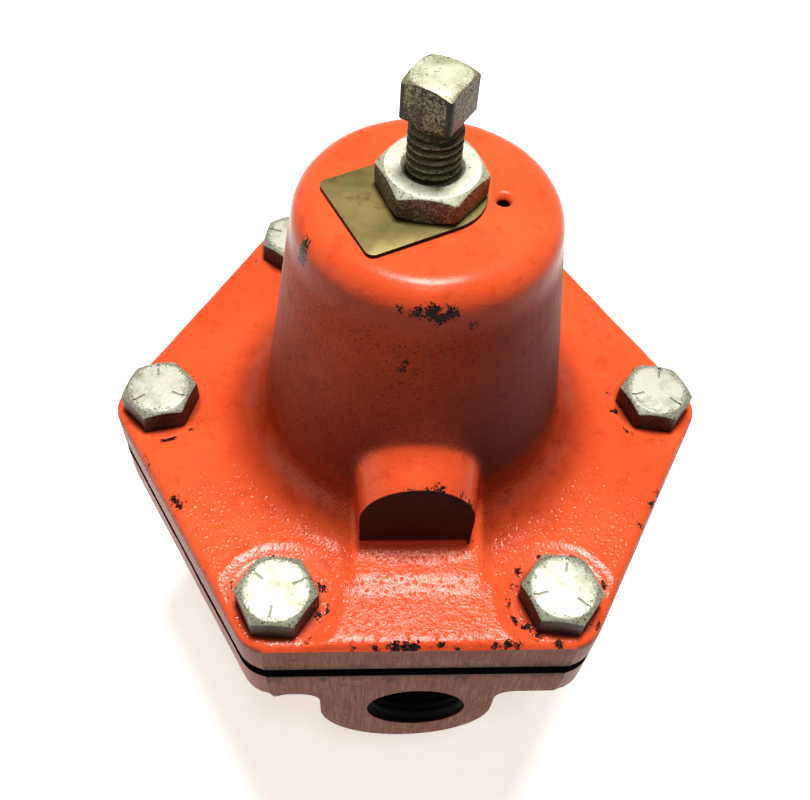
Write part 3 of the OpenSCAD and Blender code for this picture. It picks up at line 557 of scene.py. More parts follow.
# %% Pieces from meshes
def new_piece(name, mesh):
    piece = bpy.data.objects.new(name, mesh)
    scene.collection.objects.link(piece)
    return piece


def formed(name, work):
    """Turns a bmesh into a piece."""
    mesh = bpy.data.meshes.new(name)
    work.to_mesh(mesh)
    work.free()
    return new_piece(name, mesh)


def welded_copy(node, name):
    skin = bmesh.new()
    skin.from_mesh(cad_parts[node].data)
    bmesh.ops.remove_doubles(skin, verts=skin.verts, dist=2e-6)
    return formed(name, skin)


# %% Modifiers and smooth shading
def baked(piece):
    """Applies the piece's modifiers to its mesh."""
    bpy.context.view_layer.update()
    view = piece.evaluated_get(bpy.context.evaluated_depsgraph_get())
    mesh = bpy.data.meshes.new_from_object(view)
    mesh.name = piece.name
    piece.modifiers.clear()
    piece.data = mesh
    return piece


def modifier(piece, kind, **settings):
    added = piece.modifiers.new(kind.lower(), kind)
    for key, value in settings.items():
        setattr(added, key, value)


def bevelled(piece, width, segments, angle):
    """Rounds every edge that is sharper than the angle, in degrees."""
    modifier(piece, "BEVEL", width=width, segments=segments,
             limit_method="ANGLE", angle_limit=math.radians(angle))
    return baked(piece)


def shade(piece, angle):
    """Smooth shading, broken only where two faces meet more sharply than the angle."""
    mesh = piece.data
    mesh.polygons.foreach_set("use_smooth", [True] * len(mesh.polygons))
    mesh.set_sharp_from_angle(angle=math.radians(angle))
    return piece


# %% Finishes, and taking a node's place
def dress(piece, node):
    """Gives a piece the finish that belongs to a node."""
    piece.data.materials.clear()
    piece.data.materials.append(FINISHES[node])


def fit(piece, node, body):
    """Takes the node's place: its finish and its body."""
    dress(piece, node)
    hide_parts(node)
    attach(piece, body)
    piece.data.calc_loop_triangles()
    print(piece.name, "triangles:", len(piece.data.loop_triangles))


# %% Turning and milling
def lathe(name, profile, centre=(0, 0, 0), steps=64, axis="Z"):
    """A turned solid: a closed half section of (radius, height) pairs, in metres."""
    work = bmesh.new()
    rings = []
    for i in range(steps):
        a = 2 * math.pi * i / steps
        rings.append([work.verts.new((r * math.cos(a), r * math.sin(a), h)) for r, h in profile])
    for i in range(steps):
        here, there = rings[i], rings[(i + 1) % steps]
        for j in range(len(profile)):
            k = (j + 1) % len(profile)
            work.faces.new((here[j], there[j], there[k], here[k]))
    bmesh.ops.remove_doubles(work, verts=work.verts, dist=1e-7)
    bmesh.ops.dissolve_degenerate(work, edges=work.edges, dist=1e-7)
    bmesh.ops.recalc_face_normals(work, faces=work.faces)
    piece = formed(name, work)
    if axis == "Y":
        piece.data.transform(Matrix.Rotation(math.radians(-90), 4, "X"))
    piece.data.transform(Matrix.Translation(centre))
    return piece


def block(name, low, high):
    """A box between two corners, used as a milling cutter."""
    work = bmesh.new()
    bmesh.ops.create_cube(work, size=1)
    for corner in work.verts:
        corner.co = Vector([(low[i] + high[i]) / 2 + corner.co[i] * (high[i] - low[i]) for i in range(3)])
    return formed(name, work)


def cut_away(piece, cutters):
    """Subtracts each cutter, which is then deleted."""
    for cutter in cutters:
        modifier(piece, "BOOLEAN", object=cutter, operation="DIFFERENCE", solver="MANIFOLD")
        baked(piece)
        bpy.data.objects.remove(cutter)
    return piece


# %% [markdown]
# ## Geometry Nodes recipes
# Threads and rows of bolts follow a rule, so Geometry Nodes make them. A Recipe is
# a tree with named inputs; run() feeds it numbers and returns a plain mesh.

# %% A recipe and how to run it
class Recipe(Graph):
    """A Geometry Nodes tree whose inputs are named sizes."""

    KINDS = {float: "NodeSocketFloat", int: "NodeSocketInt", type(None): "NodeSocketObject"}

    def __init__(self, name, **inputs):
        super().__init__(bpy.data.node_groups.new(name, "GeometryNodeTree"))
        sockets = self.tree.interface
        sockets.new_socket("Geometry", in_out="OUTPUT", socket_type="NodeSocketGeometry")
        sockets.new_socket("Geometry", in_out="INPUT", socket_type="NodeSocketGeometry")
        sockets.new_socket("Material", in_out="INPUT", socket_type="NodeSocketMaterial")
        for title, value in inputs.items():
            kind = self.KINDS[type(value)]
            sockets.new_socket(title, in_out="INPUT", socket_type=kind).default_value = value
        entry = self.tree.nodes.new("NodeGroupInput")
        self.given = {socket.name: Value(self, socket) for socket in entry.outputs if socket.name}

    def close(self, geometry):
        whole = self.node("GeometryNodeRealizeInstances", values={0: geometry})
        dressed = self.node("GeometryNodeSetMaterial", values={0: whole, "Material": self.given["Material"]})
        leaving = self.tree.nodes.new("NodeGroupOutput")
        self.tree.links.new(dressed.socket, leaving.inputs[0])


def run(recipe, name, material, mesh=None, **sizes):
    """Feeds a recipe its sizes by socket identifier and bakes the result."""
    piece = new_piece(name, mesh or bpy.data.meshes.new(name))
    made = piece.modifiers.new("recipe", "NODES")
    made.node_group = recipe.tree
    items = recipe.tree.interface.items_tree
    names = {item.name: item.identifier for item in items if item.in_out == "INPUT"}
    made[names["Material"]] = material
    for size, value in sizes.items():
        made[names[size]] = value
    return baked(piece)


# %% [markdown]
# ## Threads
# A rolled thread is one ridge wound round a core. The recipe bends a flat grid into
# a tube: across the grid is the angle, up the grid is the height, and the radius
# follows a V wave of height minus angle. The rod closes on its axis; the sleeve, for
# a tapped hole, closes on an outer wall hidden in the casting.

# %% Thread recipes
FLAT = 0.14  # the share of half a pitch that crest and root are flat for


def thread_recipe(name, hollow):
    work = Recipe(name, Radius=0.005, Depth=0.001, Pitch=0.0016, Length=0.01, Back=0.006, Sides=48, Rows=100)
    given = work.given
    rows = given["Rows"] - 1
    grid = work.node("GeometryNodeMeshGrid", values={
        "Size X": 1.0, "Size Y": 1.0, "Vertices X": given["Sides"] + 1, "Vertices Y": given["Rows"]})
    across, up, _ = work.axes(work.node("GeometryNodeInputPosition"))
    round_share = across + 0.5
    row = work.maths("ROUND", (up + 0.5) * rows)
    if hollow:
        share = 1 - work.clamped((row - 2) / (rows - 3))
        share = share * work.maths("GREATER_THAN", row, 0.5)
        closing = work.maths("LESS_THAN", row, 1.5)
    else:
        share = work.clamped((row - 1) / (rows - 2))
        closing = work.maths("LESS_THAN", row, 0.5)
    closing = work.maths("MAXIMUM", closing, work.maths("GREATER_THAN", row, rows - 0.5))
    height = share * given["Length"]
    phase = work.maths("FLOORED_MODULO", height / given["Pitch"] - round_share, 1.0)
    wave = work.clamped((work.unsigned(phase * 2 - 1) - FLAT) / (1 - 2 * FLAT))
    wave = wave * wave * (3 - 2 * wave)
    to_end = work.maths("MINIMUM", height, given["Length"] - height)
    radius = given["Radius"] - given["Depth"] * wave
    if hollow:  # a countersunk mouth, and a closing wall behind
        radius = work.maths("MAXIMUM", radius, given["Radius"] - to_end * 0.6)
        radius = radius * (1 - closing) + given["Back"] * closing
    else:  # a chamfered tip that starts just below the roots
        radius = work.maths("MINIMUM", radius, given["Radius"] - given["Depth"] * 1.05 + to_end)
        radius = radius * (1 - closing)
    angle = round_share * (2 * math.pi)
    bent = work.node("ShaderNodeCombineXYZ", values={
        0: radius * work.maths("COSINE", angle), 1: radius * work.maths("SINE", angle), 2: height})
    tube = work.node("GeometryNodeSetPosition", values={"Geometry": grid, "Position": bent})
    tube = work.node("GeometryNodeSetShadeSmooth", values={0: tube})
    work.close(work.node("GeometryNodeMergeByDistance", values={"Geometry": tube, "Distance": 2e-6}))
    return work


ROD = thread_recipe("rolled_thread", False)
SLEEVE = thread_recipe("tapped_thread", True)
INCH = 25.4 * MM
SCREW_PITCH, PIPE_PITCH = INCH / 16, INCH / 14
print("thread recipes:", len(ROD.tree.nodes), "and", len(SLEEVE.tree.nodes), "nodes")

# %% [markdown]
# ## Wrench heads
# A forged head starts as a hexagon or a square bar and a turned cone takes its
# corners off, which is what leaves the arcs on its flats. The mesh does the same:
# rings of one outline are drawn in towards a circle, and each point's height comes
# from the cone. A small bevel then softens every edge.

# %% Outline of a hexagon or a square
def outline(af, count, corner):
    """Rounded polygon with a corner on +X, with extra points along its flats."""
    reach = (af / 2 - corner) / math.cos(math.pi / count)

    def rounded(i, share):
        """A point on corner i; share runs from -0.5 to 0.5 round it."""
        middle = 2 * math.pi * i / count
        a = middle + share * 2 * math.pi / count
        return (reach * math.cos(middle) + corner * math.cos(a),
                reach * math.sin(middle) + corner * math.sin(a))

    points = []
    for i in range(count):
        points += [rounded(i, k / 4 - 0.5) for k in range(5)]
        here, there = points[-1], rounded(i + 1, -0.5)
        points += [tuple(here[j] + (there[j] - here[j]) * k / 12 for j in range(2)) for k in range(1, 12)]
    return points


# %% Heads and nuts
def wrench_head(name, af, height, count, base=0.0, corner=0.5 * MM, top=0.9, bottom=1.0, slope=30,
                bore=0.0, sink=0.0, soft=0.25 * MM, dome=0.0):
    """A head or nut standing on z = base. top and bottom: the flat circles' share of af."""
    shape = outline(af, count, corner)
    fall = math.tan(math.radians(slope))
    work = bmesh.new()

    def ring(pull, share, level, sign):
        """Outline points drawn towards a circle; pull 0 is the circle, 1 the outline."""
        made = []
        for x, y in shape:
            reach = math.hypot(x, y)
            radius = af / 2 * share
            grown = radius + (reach - radius) * pull
            drop = max(0.0, grown - radius) * fall
            made.append(work.verts.new((x / reach * grown, y / reach * grown, level - sign * drop)))
        return made

    def circle(radius, level):
        return [work.verts.new((x / math.hypot(x, y) * radius, y / math.hypot(x, y) * radius, level))
                for x, y in shape]

    roof, ground = base + height, base
    if bore:
        rings = [circle(bore, ground + sink), circle(bore, roof - sink), circle(bore + sink, roof)]
    else:
        rings = [circle(af / 2 * top * 0.45, roof + dome * 0.8)]
    rings += [ring(pull, top, roof, 1) for pull in (0, 0.5, 1)]
    if bottom < 1:
        rings += [ring(pull, bottom, ground, -1) for pull in (1, 0.5, 0)]
    else:
        rings += [ring(1, 1.2, ground, 0)]
    if bore:
        rings += [circle(bore + sink, ground), rings[0]]
    around = len(shape)
    for upper, lower in zip(rings, rings[1:]):
        for i in range(around):
            j = (i + 1) % around
            work.faces.new((upper[i], lower[i], lower[j], upper[j]))
    if not bore:
        for ends, level in ((rings[0], roof + dome), (rings[-1], ground)):
            tip = work.verts.new((0, 0, level))
            for i in range(around):
                work.faces.new((ends[i], ends[(i + 1) % around], tip))
    bmesh.ops.recalc_face_normals(work, faces=work.faces)
    return bevelled(formed(name, work), soft, 3, 24)


# %% Putting pieces together
def joined(name, pieces):
    """Several meshes as one piece."""
    work = bmesh.new()
    for piece in pieces:
        work.from_mesh(piece.data)
        bpy.data.objects.remove(piece)
    return formed(name, work)


def turned(piece, degrees):
    piece.data.transform(Matrix.Rotation(math.radians(degrees), 4, "Z"))
    return piece


def raised(piece, height):
    piece.data.transform(Matrix.Translation((0, 0, height)))
    return piece


# %% [markdown]
# ## The two castings
# A foundry pours the rough shape a little full, and the machine shop then mills the
# joint, the ends of the ports and the bolt seats. The same order works here: the
# machined faces are pushed out by 2 mm, a voxel remesh joins all the blended forms
# into one skin, smoothing and a slow swell give it the sand mould's softness, and
# the cutters then take the machined faces back to size, so that their edges are crisp.

# %% The bolt axes, and the pad in front of the lug
BOLT_ANGLES = [math.radians(60 * i) for i in range(6)]
APRON = 0.7 * MM  # how high the pad stands; its sides and ends fade between these places
APRON_SIDES = 12 * MM, 15.8 * MM
APRON_FRONT, APRON_BACK = (-47.6 * MM, -42.4 * MM), (-33 * MM, -28 * MM)


def bolt_reach(point):
    """How far a point is from the nearest bolt axis."""
    return min(math.hypot(point.x - BOLT_CIRCLE * math.cos(a), point.y - BOLT_CIRCLE * math.sin(a))
               for a in BOLT_ANGLES)


def step(value, low, high):
    """0 below low, 1 above high, and a smooth step between them."""
    share = min(1.0, max(0.0, (value - low) / (high - low)))
    return share * share * (3 - 2 * share)


def apron(point):
    """The height of the low pad that the casting has in front of the lug's foot."""
    beside = 1 - step(abs(point.x + 0.2 * MM), *APRON_SIDES)
    before = step(point.y, *APRON_FRONT) * (1 - step(point.y, *APRON_BACK))
    above = step(point.z, FLANGE_TOP - 3 * MM, FLANGE_TOP - 1 * MM)
    below = 1 - step(point.z, FLANGE_TOP + 2 * MM, FLANGE_TOP + 8 * MM)
    return APRON * beside * before * (above * below)


# %% Pouring a casting
ALLOWANCE = 2 * MM  # the iron left on a face for the milling cutter
SMOOTHING, SWELL = 2, 0.16 * MM
CALM_R, CALM_FADE = 13 * MM, 4 * MM  # no swell this near to a bolt, and full swell that much further out
MOST_TRIANGLES = 185000


def pour(name, node, faces, voxel, lug=None):
    """The rough casting: faces lists (axis, side, level) of the machined planes.
    lug is the lug's front face, y and lowest z, which is left full as well."""
    piece = welded_copy(node, name)
    for vertex in piece.data.vertices:
        if lug and abs(vertex.co.y - lug[0]) < 2e-5 and vertex.co.z > lug[1] and abs(vertex.co.x) < 13 * MM:
            vertex.co.y -= ALLOWANCE
        for axis, side, level in faces:
            if (vertex.co[axis] - level) * side > -5e-6:
                vertex.co[axis] += side * ALLOWANCE
    modifier(piece, "REMESH", mode="VOXEL", voxel_size=voxel)
    modifier(piece, "SMOOTH", factor=0.5, iterations=SMOOTHING)
    mesh = baked(piece).data
    normals = np.zeros(len(mesh.vertices) * 3)
    mesh.vertices.foreach_get("normal", normals)
    for vertex, normal in zip(mesh.vertices, normals.reshape(-1, 3)):
        far = min(1.0, max(0.0, (bolt_reach(vertex.co) - CALM_R) / CALM_FADE))
        wave = noise.noise(vertex.co * 70) * 0.6 + noise.noise(vertex.co * 190) * 0.4
        vertex.co += Vector(normal) * wave * SWELL * far
        if lug:
            vertex.co.z += apron(vertex.co)
    modifier(piece, "DECIMATE", ratio=min(1.0, MOST_TRIANGLES / (2 * len(mesh.polygons))))
    return baked(piece)


# %% Cutters that both castings need
FAR = 0.2  # further out than any face


def end_cutters():
    """Cutters for the ground faces, front and back."""
    return [block("front_cutter", (-FAR, -FAR, 0), (FAR, -GROUND, FAR)),
            block("back_cutter", (-FAR, GROUND, 0), (FAR, FAR, FAR))]


def bolt_cutters(profile):
    """The same turned cutter at each of the six bolts."""
    return [lathe("seat_cutter", profile, BOLT_CIRCLE * Vector((math.cos(a), math.sin(a), 0)), 72)
            for a in BOLT_ANGLES]


# %% [markdown]
# The spring chamber is the bell on top with its hexagonal flange. Its front and back
# flats are ground, its underside is milled, and each bolt sits in a shallow dish.

# %% The lug's cutter
LUG_FACE = -36.2 * MM
LUG_FOOT = 2.5 * MM  # radius of the hollow fillet


def lug_cutter(left=-13 * MM, right=12 * MM):
    """Trims the lug's face flat, down into the hollow fillet at its foot."""
    steps = [math.radians(90 * k / 8) for k in range(9)]
    foot = FLANGE_TOP + APRON + 0.2 * MM
    section = [(LUG_FACE, CROWN)]
    section += [(LUG_FACE - LUG_FOOT + LUG_FOOT * math.cos(a), foot + LUG_FOOT - LUG_FOOT * math.sin(a))
                for a in steps]
    section += [(LUG_FACE - LUG_FOOT - 1 * MM, foot), (LUG_FACE - LUG_FOOT - 1 * MM, CROWN)]
    work = bmesh.new()
    near, far = ([work.verts.new((x, y, z)) for y, z in section] for x in (left, right))
    work.faces.new(near)
    work.faces.new(far)
    for i in range(len(section)):
        j = (i + 1) % len(section)
        work.faces.new((near[i], near[j], far[j], far[i]))
    bmesh.ops.recalc_face_normals(work, faces=work.faces)
    return formed("lug_cutter", work)


# %% Spring chamber
VENT_R, VENT_DEPTH, VENT_SINK_R = 1.2 * MM, 13 * MM, 2.3 * MM
vent_angle = math.radians(-5)
vent_place = Vector((12.9 * MM * math.cos(vent_angle), 12.9 * MM * math.sin(vent_angle), 0))
vent_hole = [(0, CROWN - VENT_DEPTH), (VENT_R, CROWN - VENT_DEPTH), (VENT_R, CROWN - 1 * MM),
             (VENT_SINK_R, CROWN + 0.6 * MM), (0, CROWN + 0.6 * MM)]
dish = [(0, SEAT), (SEAT_R, SEAT), (DISH_R + 0.2 * MM, FLANGE_TOP + 0.02 * MM),
        (SEAT_R, FLANGE_TOP + 1 * MM), (SEAT_R, FLANGE_TOP + 10 * MM), (0, FLANGE_TOP + 10 * MM)]
chamber = pour("spring_chamber_casting", "spring_chamber",
               [(1, -1, -GROUND), (1, 1, GROUND), (2, -1, JOINT_TOP)], 0.55 * MM,
               lug=(LUG_FACE, FLANGE_TOP + 2.3 * MM))
cut_away(chamber, [
    *end_cutters(),
    block("joint_cutter", (-FAR, -FAR, 0), (FAR, FAR, JOINT_TOP)),
    lathe("vent_cutter", vent_hole, vent_place, 32),
    lug_cutter(),
    *bolt_cutters(dish),
])
fit(shade(chamber, 30), "spring_chamber", "housing")

# %% [markdown]
# The valve body below it carries the two ports. Its joint face, port ends, nut seats
# and lower face are machined in the same way.

# %% Valve body
PORT_R, PORT_DEPTH = 10.67 * MM, 18 * MM
INLET_SHIFT = 0.9 * MM  # the inlet's axis lies a little to the right
NUT_SEAT_R, NUT_SEAT_LOW = 8.7 * MM, nuts_low.z - 6 * MM
nut_seat = [(0, NUT_SEAT_LOW), (NUT_SEAT_R, NUT_SEAT_LOW), (NUT_SEAT_R, nuts_high.z), (0, nuts_high.z)]
port_mouth = [(0, 0), (PORT_R, 0), (PORT_R, PORT_DEPTH + 1 * MM), (0, PORT_DEPTH + 1 * MM)]
body = pour("valve_body_casting", "valve_body",
            [(1, -1, -GROUND), (1, 1, GROUND), (2, 1, JOINT_BOTTOM), (2, -1, body_low.z)], 0.65 * MM)
cut_away(body, [
    *end_cutters(),
    block("joint_cutter", (-FAR, -FAR, JOINT_BOTTOM), (FAR, FAR, FAR)),
    block("floor_cutter", (-FAR, -FAR, -FAR), (FAR, FAR, body_low.z)),
    lathe("inlet_cutter", port_mouth, Vector((INLET_SHIFT, -GROUND - 1 * MM, PORT_Z)), 96, "Y"),
    lathe("outlet_cutter", port_mouth, Vector((0, GROUND - PORT_DEPTH, PORT_Z)), 96, "Y"),
    *bolt_cutters(nut_seat),
])
fit(shade(body, 30), "valve_body", "housing")

# %% [markdown]
# ## Pipe threads in the ports
# Each port is tapped for a pipe. The sleeve recipe lines the bore with the ridges
# that a pipe screws into, so the mouth reads as a thread and not as a drilled hole.

# %% Port threads
for name, x, y, turn in (("inlet_thread", INLET_SHIFT, PORT_DEPTH - GROUND, 90),
                         ("outlet_thread", 0, GROUND - PORT_DEPTH, -90)):
    thread = run(SLEEVE, name, PORT_IRON_SHADED, Radius=PORT_R - 0.05 * MM, Depth=0.9 * MM, Pitch=PIPE_PITCH,
                 Length=17 * MM, Back=PORT_R + 0.5 * MM, Sides=72, Rows=150)
    thread.data.transform(Matrix.Translation((x, y, PORT_Z)) @ Matrix.Rotation(math.radians(turn), 4, "X"))
    shade(thread, 50)
    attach(thread, "housing")
    print(name, "faces:", len(thread.data.polygons))

# %% [markdown]
# ## Flange bolts
# Six hexagon bolts clamp the flange. The heads carry three stamped dashes, a grade
# mark that any maker uses, each ending in a small dimple. One bolt is modelled and
# a recipe sets it on six points, each turned as a fitter happened to leave it.

# %% One bolt
BOLT_AF, BOLT_R, BOLT_LENGTH, NUT_BORE = 14.29 * MM, 4.76 * MM, 38.1 * MM, 4.82 * MM
DASH_Z, DIMPLE_Z, CLEAR_Z = 5.8 * MM, 5.55 * MM, 7 * MM  # heights above the bolt's seat
head = wrench_head("bolt_head", BOLT_AF, 5.95 * MM, 6, top=0.9, dome=0.05 * MM)
marks = []
for i in range(3):
    dash = block("dash", (3.3 * MM, -0.28 * MM, DASH_Z), (6.0 * MM, 0.28 * MM, CLEAR_Z))
    dimple = lathe("dimple", [(0, DIMPLE_Z), (0.4 * MM, 5.62 * MM), (0.55 * MM, CLEAR_Z), (0, CLEAR_Z)],
                   Vector((5.9 * MM, 0, 0)), 16)
    marks += [turned(dash, 24 + 120 * i), turned(dimple, 24 + 120 * i)]
cut_away(head, marks)
shank = lathe("bolt_shank", [(0, -22 * MM), (BOLT_R, -22 * MM), (BOLT_R, 1 * MM), (0, 1 * MM)], steps=32)
tip = run(ROD, "bolt_tip", FINISHES["flange_bolts"], Radius=BOLT_R, Depth=0.85 * MM, Pitch=SCREW_PITCH,
          Length=17 * MM, Sides=32, Rows=90)
bolt = joined("one_bolt", [head, shank, raised(tip, -BOLT_LENGTH)])
print("one bolt:", len(bolt.data.polygons), "faces")

# %% Copies round the flange
def around_recipe(name):
    """Copies of one piece on points, each turned by the point's own angle."""
    work = Recipe(name, Piece=None)
    piece = work.node("GeometryNodeObjectInfo", values={"Object": work.given["Piece"]}, output="Geometry")
    turn = work.node("GeometryNodeInputNamedAttribute", {"data_type": "FLOAT"}, {"Name": "turn"})
    spin = work.node("ShaderNodeCombineXYZ", values={2: turn})
    work.close(work.node("GeometryNodeInstanceOnPoints", values={
        "Points": work.given["Geometry"], "Instance": piece, "Rotation": spin}))
    return work


AROUND = around_recipe("round_the_flange")


def six_around(name, piece, level, turns, material):
    """Six copies of a piece on the bolt circle."""
    mesh = bpy.data.meshes.new(name + "_points")
    places = [(BOLT_CIRCLE * math.cos(a), BOLT_CIRCLE * math.sin(a), level) for a in BOLT_ANGLES]
    mesh.from_pydata(places, [], [])
    turn = mesh.attributes.new("turn", "FLOAT", "POINT")
    turn.data.foreach_set("value", [math.radians(t) for t in turns])
    ring = run(AROUND, name, material, mesh, Piece=piece)
    bpy.data.objects.remove(piece)
    return ring


# %% Six bolts and six nuts
nut = wrench_head("nut", BOLT_AF, 8.3 * MM, 6, top=0.93, bottom=0.93, bore=NUT_BORE, sink=0.5 * MM)
for node, piece, level, turns in (("flange_bolts", bolt, SEAT, [51, 33, 20, 73, 116, 52]),
                                  ("flange_nuts", nut, nuts_low.z, [20, 47, 5, 31, 14, 0])):
    six = six_around(node + "_zinc", piece, level, turns, FINISHES[node])
    fit(shade(six, 40), node, "housing")

# %% [markdown]
# ## Adjusting screw and lock nut
# The square-headed screw presses on the spring; turning it in raises the pressure.
# The flat lock nut below jams it where it was set.

# %% Adjusting screw
screw_low, screw_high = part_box("adjusting_screw")
SQUARE_AF, SQUARE_HEIGHT, SCREW_R, NECK_R = 9.4 * MM, 7.15 * MM, 4.74 * MM, 3.9 * MM
HEAD_Z = screw_high.z - 7.2 * MM
NECK_LOW, NECK_HIGH = HEAD_Z - 3 * MM, HEAD_Z + 0.4 * MM
square = wrench_head("square_head", SQUARE_AF, SQUARE_HEIGHT, 4, corner=0.5 * MM, top=0.99, slope=24,
                     soft=0.5 * MM, dome=0.05 * MM)
square = turned(raised(square, HEAD_Z), 12)
neck = lathe("neck", [(0, NECK_LOW), (NECK_R, NECK_LOW), (NECK_R, HEAD_Z - 1 * MM),
                      (4.4 * MM, NECK_HIGH), (0, NECK_HIGH)], steps=48)
stem = run(ROD, "screw_stem", FINISHES["adjusting_screw"], Radius=SCREW_R, Depth=1.0 * MM, Pitch=SCREW_PITCH,
           Length=HEAD_Z - 1.4 * MM - screw_low.z, Sides=64, Rows=340)
screw = joined("adjusting_screw_zinc", [square, neck, raised(stem, screw_low.z)])
fit(shade(screw, 40), "adjusting_screw", "screw")

# %% Lock nut
lock_low, lock_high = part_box("lock_nut")
LOCK_AF, LOCK_HEIGHT = 17.4 * MM, lock_high.z - lock_low.z
lock = wrench_head("lock_nut_zinc", LOCK_AF, LOCK_HEIGHT, 6, base=lock_low.z, corner=0.7 * MM,
                   top=0.95, bottom=0.97, bore=NUT_BORE, sink=0.7 * MM, soft=0.3 * MM)
fit(shade(turned(lock, 51), 40), "lock_nut", "lock_nut")

# %% [markdown]
# ## Tag plate and bottom plug
# Both keep their CAD shape. Real sheet and bar stock have no razor edges, so each
# gets a welded copy with a narrow bevel that catches the light.

# %% Bevelled copies
for name, node, width, slot in (("tag_plate_brass", "tag_plate", 0.15 * MM, "tag_brass"),
                                ("bottom_plug_painted", "bottom_plug", 0.35 * MM, "orange_paint")):
    piece = bevelled(welded_copy(node, name), width, 2, 40)
    fit(shade(piece, 35), node, "housing")

# %% [markdown]
# ## Finishes for the CAD nodes
# Plates, trim and gaskets are already the right shape, so the CAD node stays and
# only its material changes. The nodes that a dressed piece stands for get theirs
# too, although they are hidden, so that no node is left with a bare one.

# %% Every CAD node gets its finish
for node, cad_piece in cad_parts.items():
    dress(cad_piece, node)
print("CAD nodes dressed:", len(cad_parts))

# %% [markdown]
# ## Springs
# Turning the screw in pushes the button down and squeezes the large spring, and the
# plunger squeezes the small one. A stiff copy would be run through by its
# neighbours. Here each coil is a copy of its node that takes the node's place, and
# the large spring, which stands on the moving diaphragm as well, is split low down
# into its foot and the rest, each closed at the cut.

# %% Pieces that take a node's place
def gives(piece, node, end):
    """Takes the node's place: the piece gets the node's finish and its placement is baked
    into its mesh, and the node is hidden. end is not used."""
    dress(piece, node)
    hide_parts(node)
    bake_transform(piece)


def coil_part(name, node, level=None, below=False):
    """A copy of the node's coil, or the part of it on one side of a level, closed."""
    piece = welded_copy(node, name)
    if level is not None:
        work = bmesh.new()
        work.from_mesh(piece.data)
        made = bmesh.ops.bisect_plane(work, geom=work.verts[:] + work.edges[:] + work.faces[:],
                                      plane_co=(0, 0, level), plane_no=(0, 0, 1),
                                      clear_outer=below, clear_inner=not below)
        cut = [part for part in made["geom_cut"] if isinstance(part, bmesh.types.BMEdge)]
        bmesh.ops.holes_fill(work, edges=cut)
        print(name, "open edges:", sum(edge.is_boundary for edge in work.edges))
        work.to_mesh(piece.data)
        work.free()
    return shade(piece, 50)


# %% Springs
WIRE, SMALL_WIRE, SPLIT = 4.6 * MM, 1.6 * MM, 12 * MM
spring_low, spring_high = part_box("range_spring")
small_low, small_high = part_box("return_spring")
foot, split, top = spring_low.z, spring_low.z + SPLIT, spring_high.z
gives(coil_part("range_spring_foot", "range_spring", split, below=True), "range_spring",
      (0, 0, split))
gives(coil_part("range_spring_coil", "range_spring", split), "range_spring",
      (0, 0, top - WIRE))
gives(coil_part("return_spring_coil", "return_spring"), "return_spring",
      (0, 0, small_high.z - SMALL_WIRE))
print("range spring from", round(foot / MM, 1), "to", round(top / MM, 1), "mm")

# %% [markdown]
# ## The diaphragm
# A sheet of rubber with cloth in it. Its rim is clamped between the flanges and its
# middle between two plates that move, so only the ring between them bends. The rim
# is the CAD sheet with its middle cut out, the middle is a turned disc, and the
# ring is twelve slices.

# %% A slice of the free ring
def slice_of_ring(name, angle, half, inner, outer, low, high, rings=8, steps=8):
    """One slice of a flat ring, cut finely along its radius."""
    work = bmesh.new()
    ways = [math.radians(angle - half + 2 * half * part / steps) for part in range(steps + 1)]
    rows = []
    for ring in range(rings + 1):
        reach = inner + (outer - inner) * ring / rings
        rows.append([work.verts.new((reach * math.cos(way), reach * math.sin(way), low)) for way in ways])
    sheet = [work.faces.new((rows[a][b], rows[a + 1][b], rows[a + 1][b + 1], rows[a][b + 1]))
             for a in range(rings) for b in range(steps)]
    made = bmesh.ops.extrude_face_region(work, geom=sheet)["geom"]
    upper = [part for part in made if isinstance(part, bmesh.types.BMVert)]
    bmesh.ops.translate(work, vec=(0, 0, high - low), verts=upper)
    bmesh.ops.recalc_face_normals(work, faces=work.faces[:])
    open_edges = sum(edge.is_boundary for edge in work.edges)
    return shade(formed(name, work), 35), open_edges


# %% Diaphragm
HOLE_R, CLAMPED, FREE, SLICES = 4.06 * MM, 24 * MM, 38 * MM, 12
sheet_low, sheet_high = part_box("diaphragm")
low, high = sheet_low.z, sheet_high.z
rim = welded_copy("diaphragm", "diaphragm_rim")
cut_away(rim, [lathe("rim_cutter", [(0, -3 * MM), (FREE, -3 * MM), (FREE, 5 * MM), (0, 5 * MM)],
                     (0, 0, low), steps=96)])
fit(shade(rim, 35), "diaphragm", "housing")
disc = lathe("diaphragm_middle", [(HOLE_R, 0), (CLAMPED, 0), (CLAMPED, high - low), (HOLE_R, high - low)],
             (0, 0, low), steps=96)
fit(shade(disc, 35), "diaphragm", "diaphragm_stack")
half = 180 / SLICES
for number in range(SLICES):
    angle = half + number * 2 * half
    east, north = math.cos(math.radians(angle)), math.sin(math.radians(angle))
    piece, open_edges = slice_of_ring(f"diaphragm_fold_{number + 1}", angle, half, CLAMPED, FREE, low, high)
    gives(piece, "diaphragm",
          (CLAMPED * east, CLAMPED * north, low))
print("diaphragm slices:", SLICES, "open edges in the last:", open_edges)

# %% [markdown]
# ## Floor and light
# The regulator stands on a white sweep, a round table top whose rim curves up, so
# that no horizon shows. The main light is a round lamp above and a little behind, so
# the upper faces glow and the front stays dark. A weak one in front adds a few
# highlights, and a wide one at the left opens the shadows.

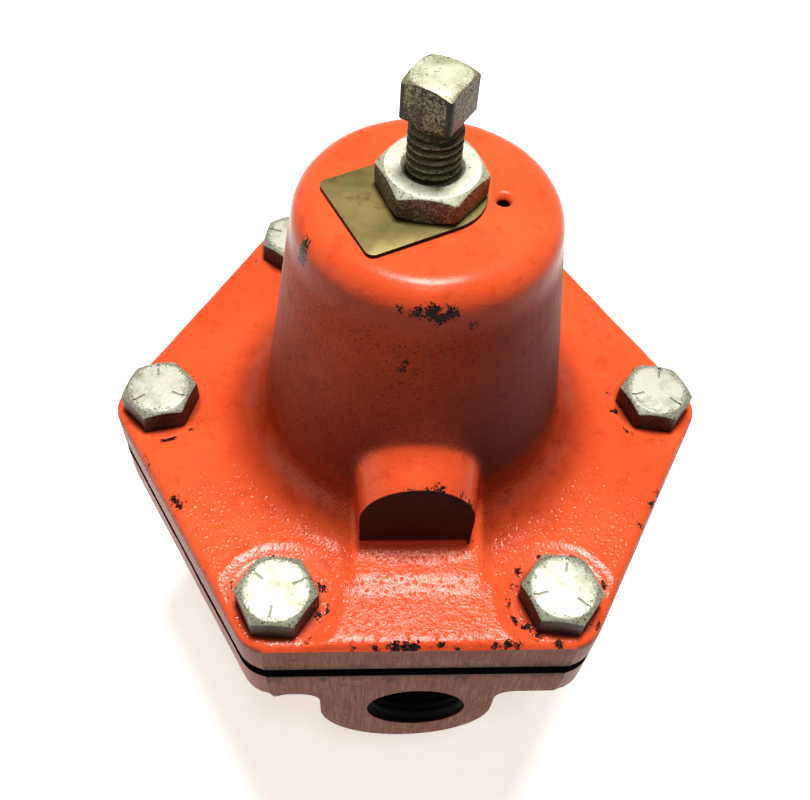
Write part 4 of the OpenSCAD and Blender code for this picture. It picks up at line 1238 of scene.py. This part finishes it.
# %% Floor
FLOOR_R, RIM_WIDTH, RIM_HEIGHT, RIM_STEPS = 1.3, 2.2, 1.5, 16
work = bmesh.new()
bmesh.ops.create_circle(work, cap_ends=True, segments=96, radius=FLOOR_R)
rim = [edge for edge in work.edges if edge.is_boundary]
for step_out in range(1, RIM_STEPS + 1):
    grown = bmesh.ops.extrude_edge_only(work, edges=rim)["geom"]
    rim = [part for part in grown if isinstance(part, bmesh.types.BMEdge)]
    share = step_out / RIM_STEPS
    for corner in {corner for edge in rim for corner in edge.verts}:
        corner.co = Vector((corner.co.x, corner.co.y, 0)).normalized() * (FLOOR_R + RIM_WIDTH * share)
        corner.co.z = RIM_HEIGHT * share ** 2.2
floor = shade(formed("floor", work), 35)
table_top = Finish("table_top", Roughness=0.9, Emission_Strength=0.6, Emission_Color=(1.0, 0.955, 0.89, 1))
table_top.set(Base_Color=table_top.blend(table_top.clouds(0.3, 2), (0.88, 0.87, 0.85), (0.84, 0.83, 0.80)))
floor.data.materials.append(table_top.material)
floor.visible_diffuse = False
print("floor reaches", FLOOR_R + RIM_WIDTH, "m out")


# %% Lights
def soft_light(name, place, aim, size, power):
    lamp = bpy.data.lights.new(name, "AREA")
    lamp.shape = "DISK"
    lamp.size = size
    lamp.energy = power
    holder = bpy.data.objects.new(name, lamp)
    place, aim = Vector(place), Vector(aim)
    turn = (place - aim).to_track_quat("Z", "Y").to_matrix().to_4x4()
    holder.matrix_world = Matrix.Translation(place) @ turn
    scene.collection.objects.link(holder)


soft_light("ceiling", (0.03, 0.085, 0.95), (0, 0, 0.05), 0.20, 9.1)
soft_light("lamp", (0.02, -0.28, 0.95), (0, 0, 0.05), 0.12, 0.9)
soft_light("left_wall", (-0.7, -0.25, 0.12), (0, 0, 0.1), 0.7, 0.8)

# %% Sky and tone
sky = bpy.data.worlds.new("sky")
sky.use_nodes = True
background = sky.node_tree.nodes["Background"]
background.inputs["Color"].default_value = (1.0, 0.98, 0.95, 1)
background.inputs["Strength"].default_value = 0.06
scene.world = sky
scene.view_settings.view_transform = "Standard"
scene.view_settings.look = "Medium High Contrast"
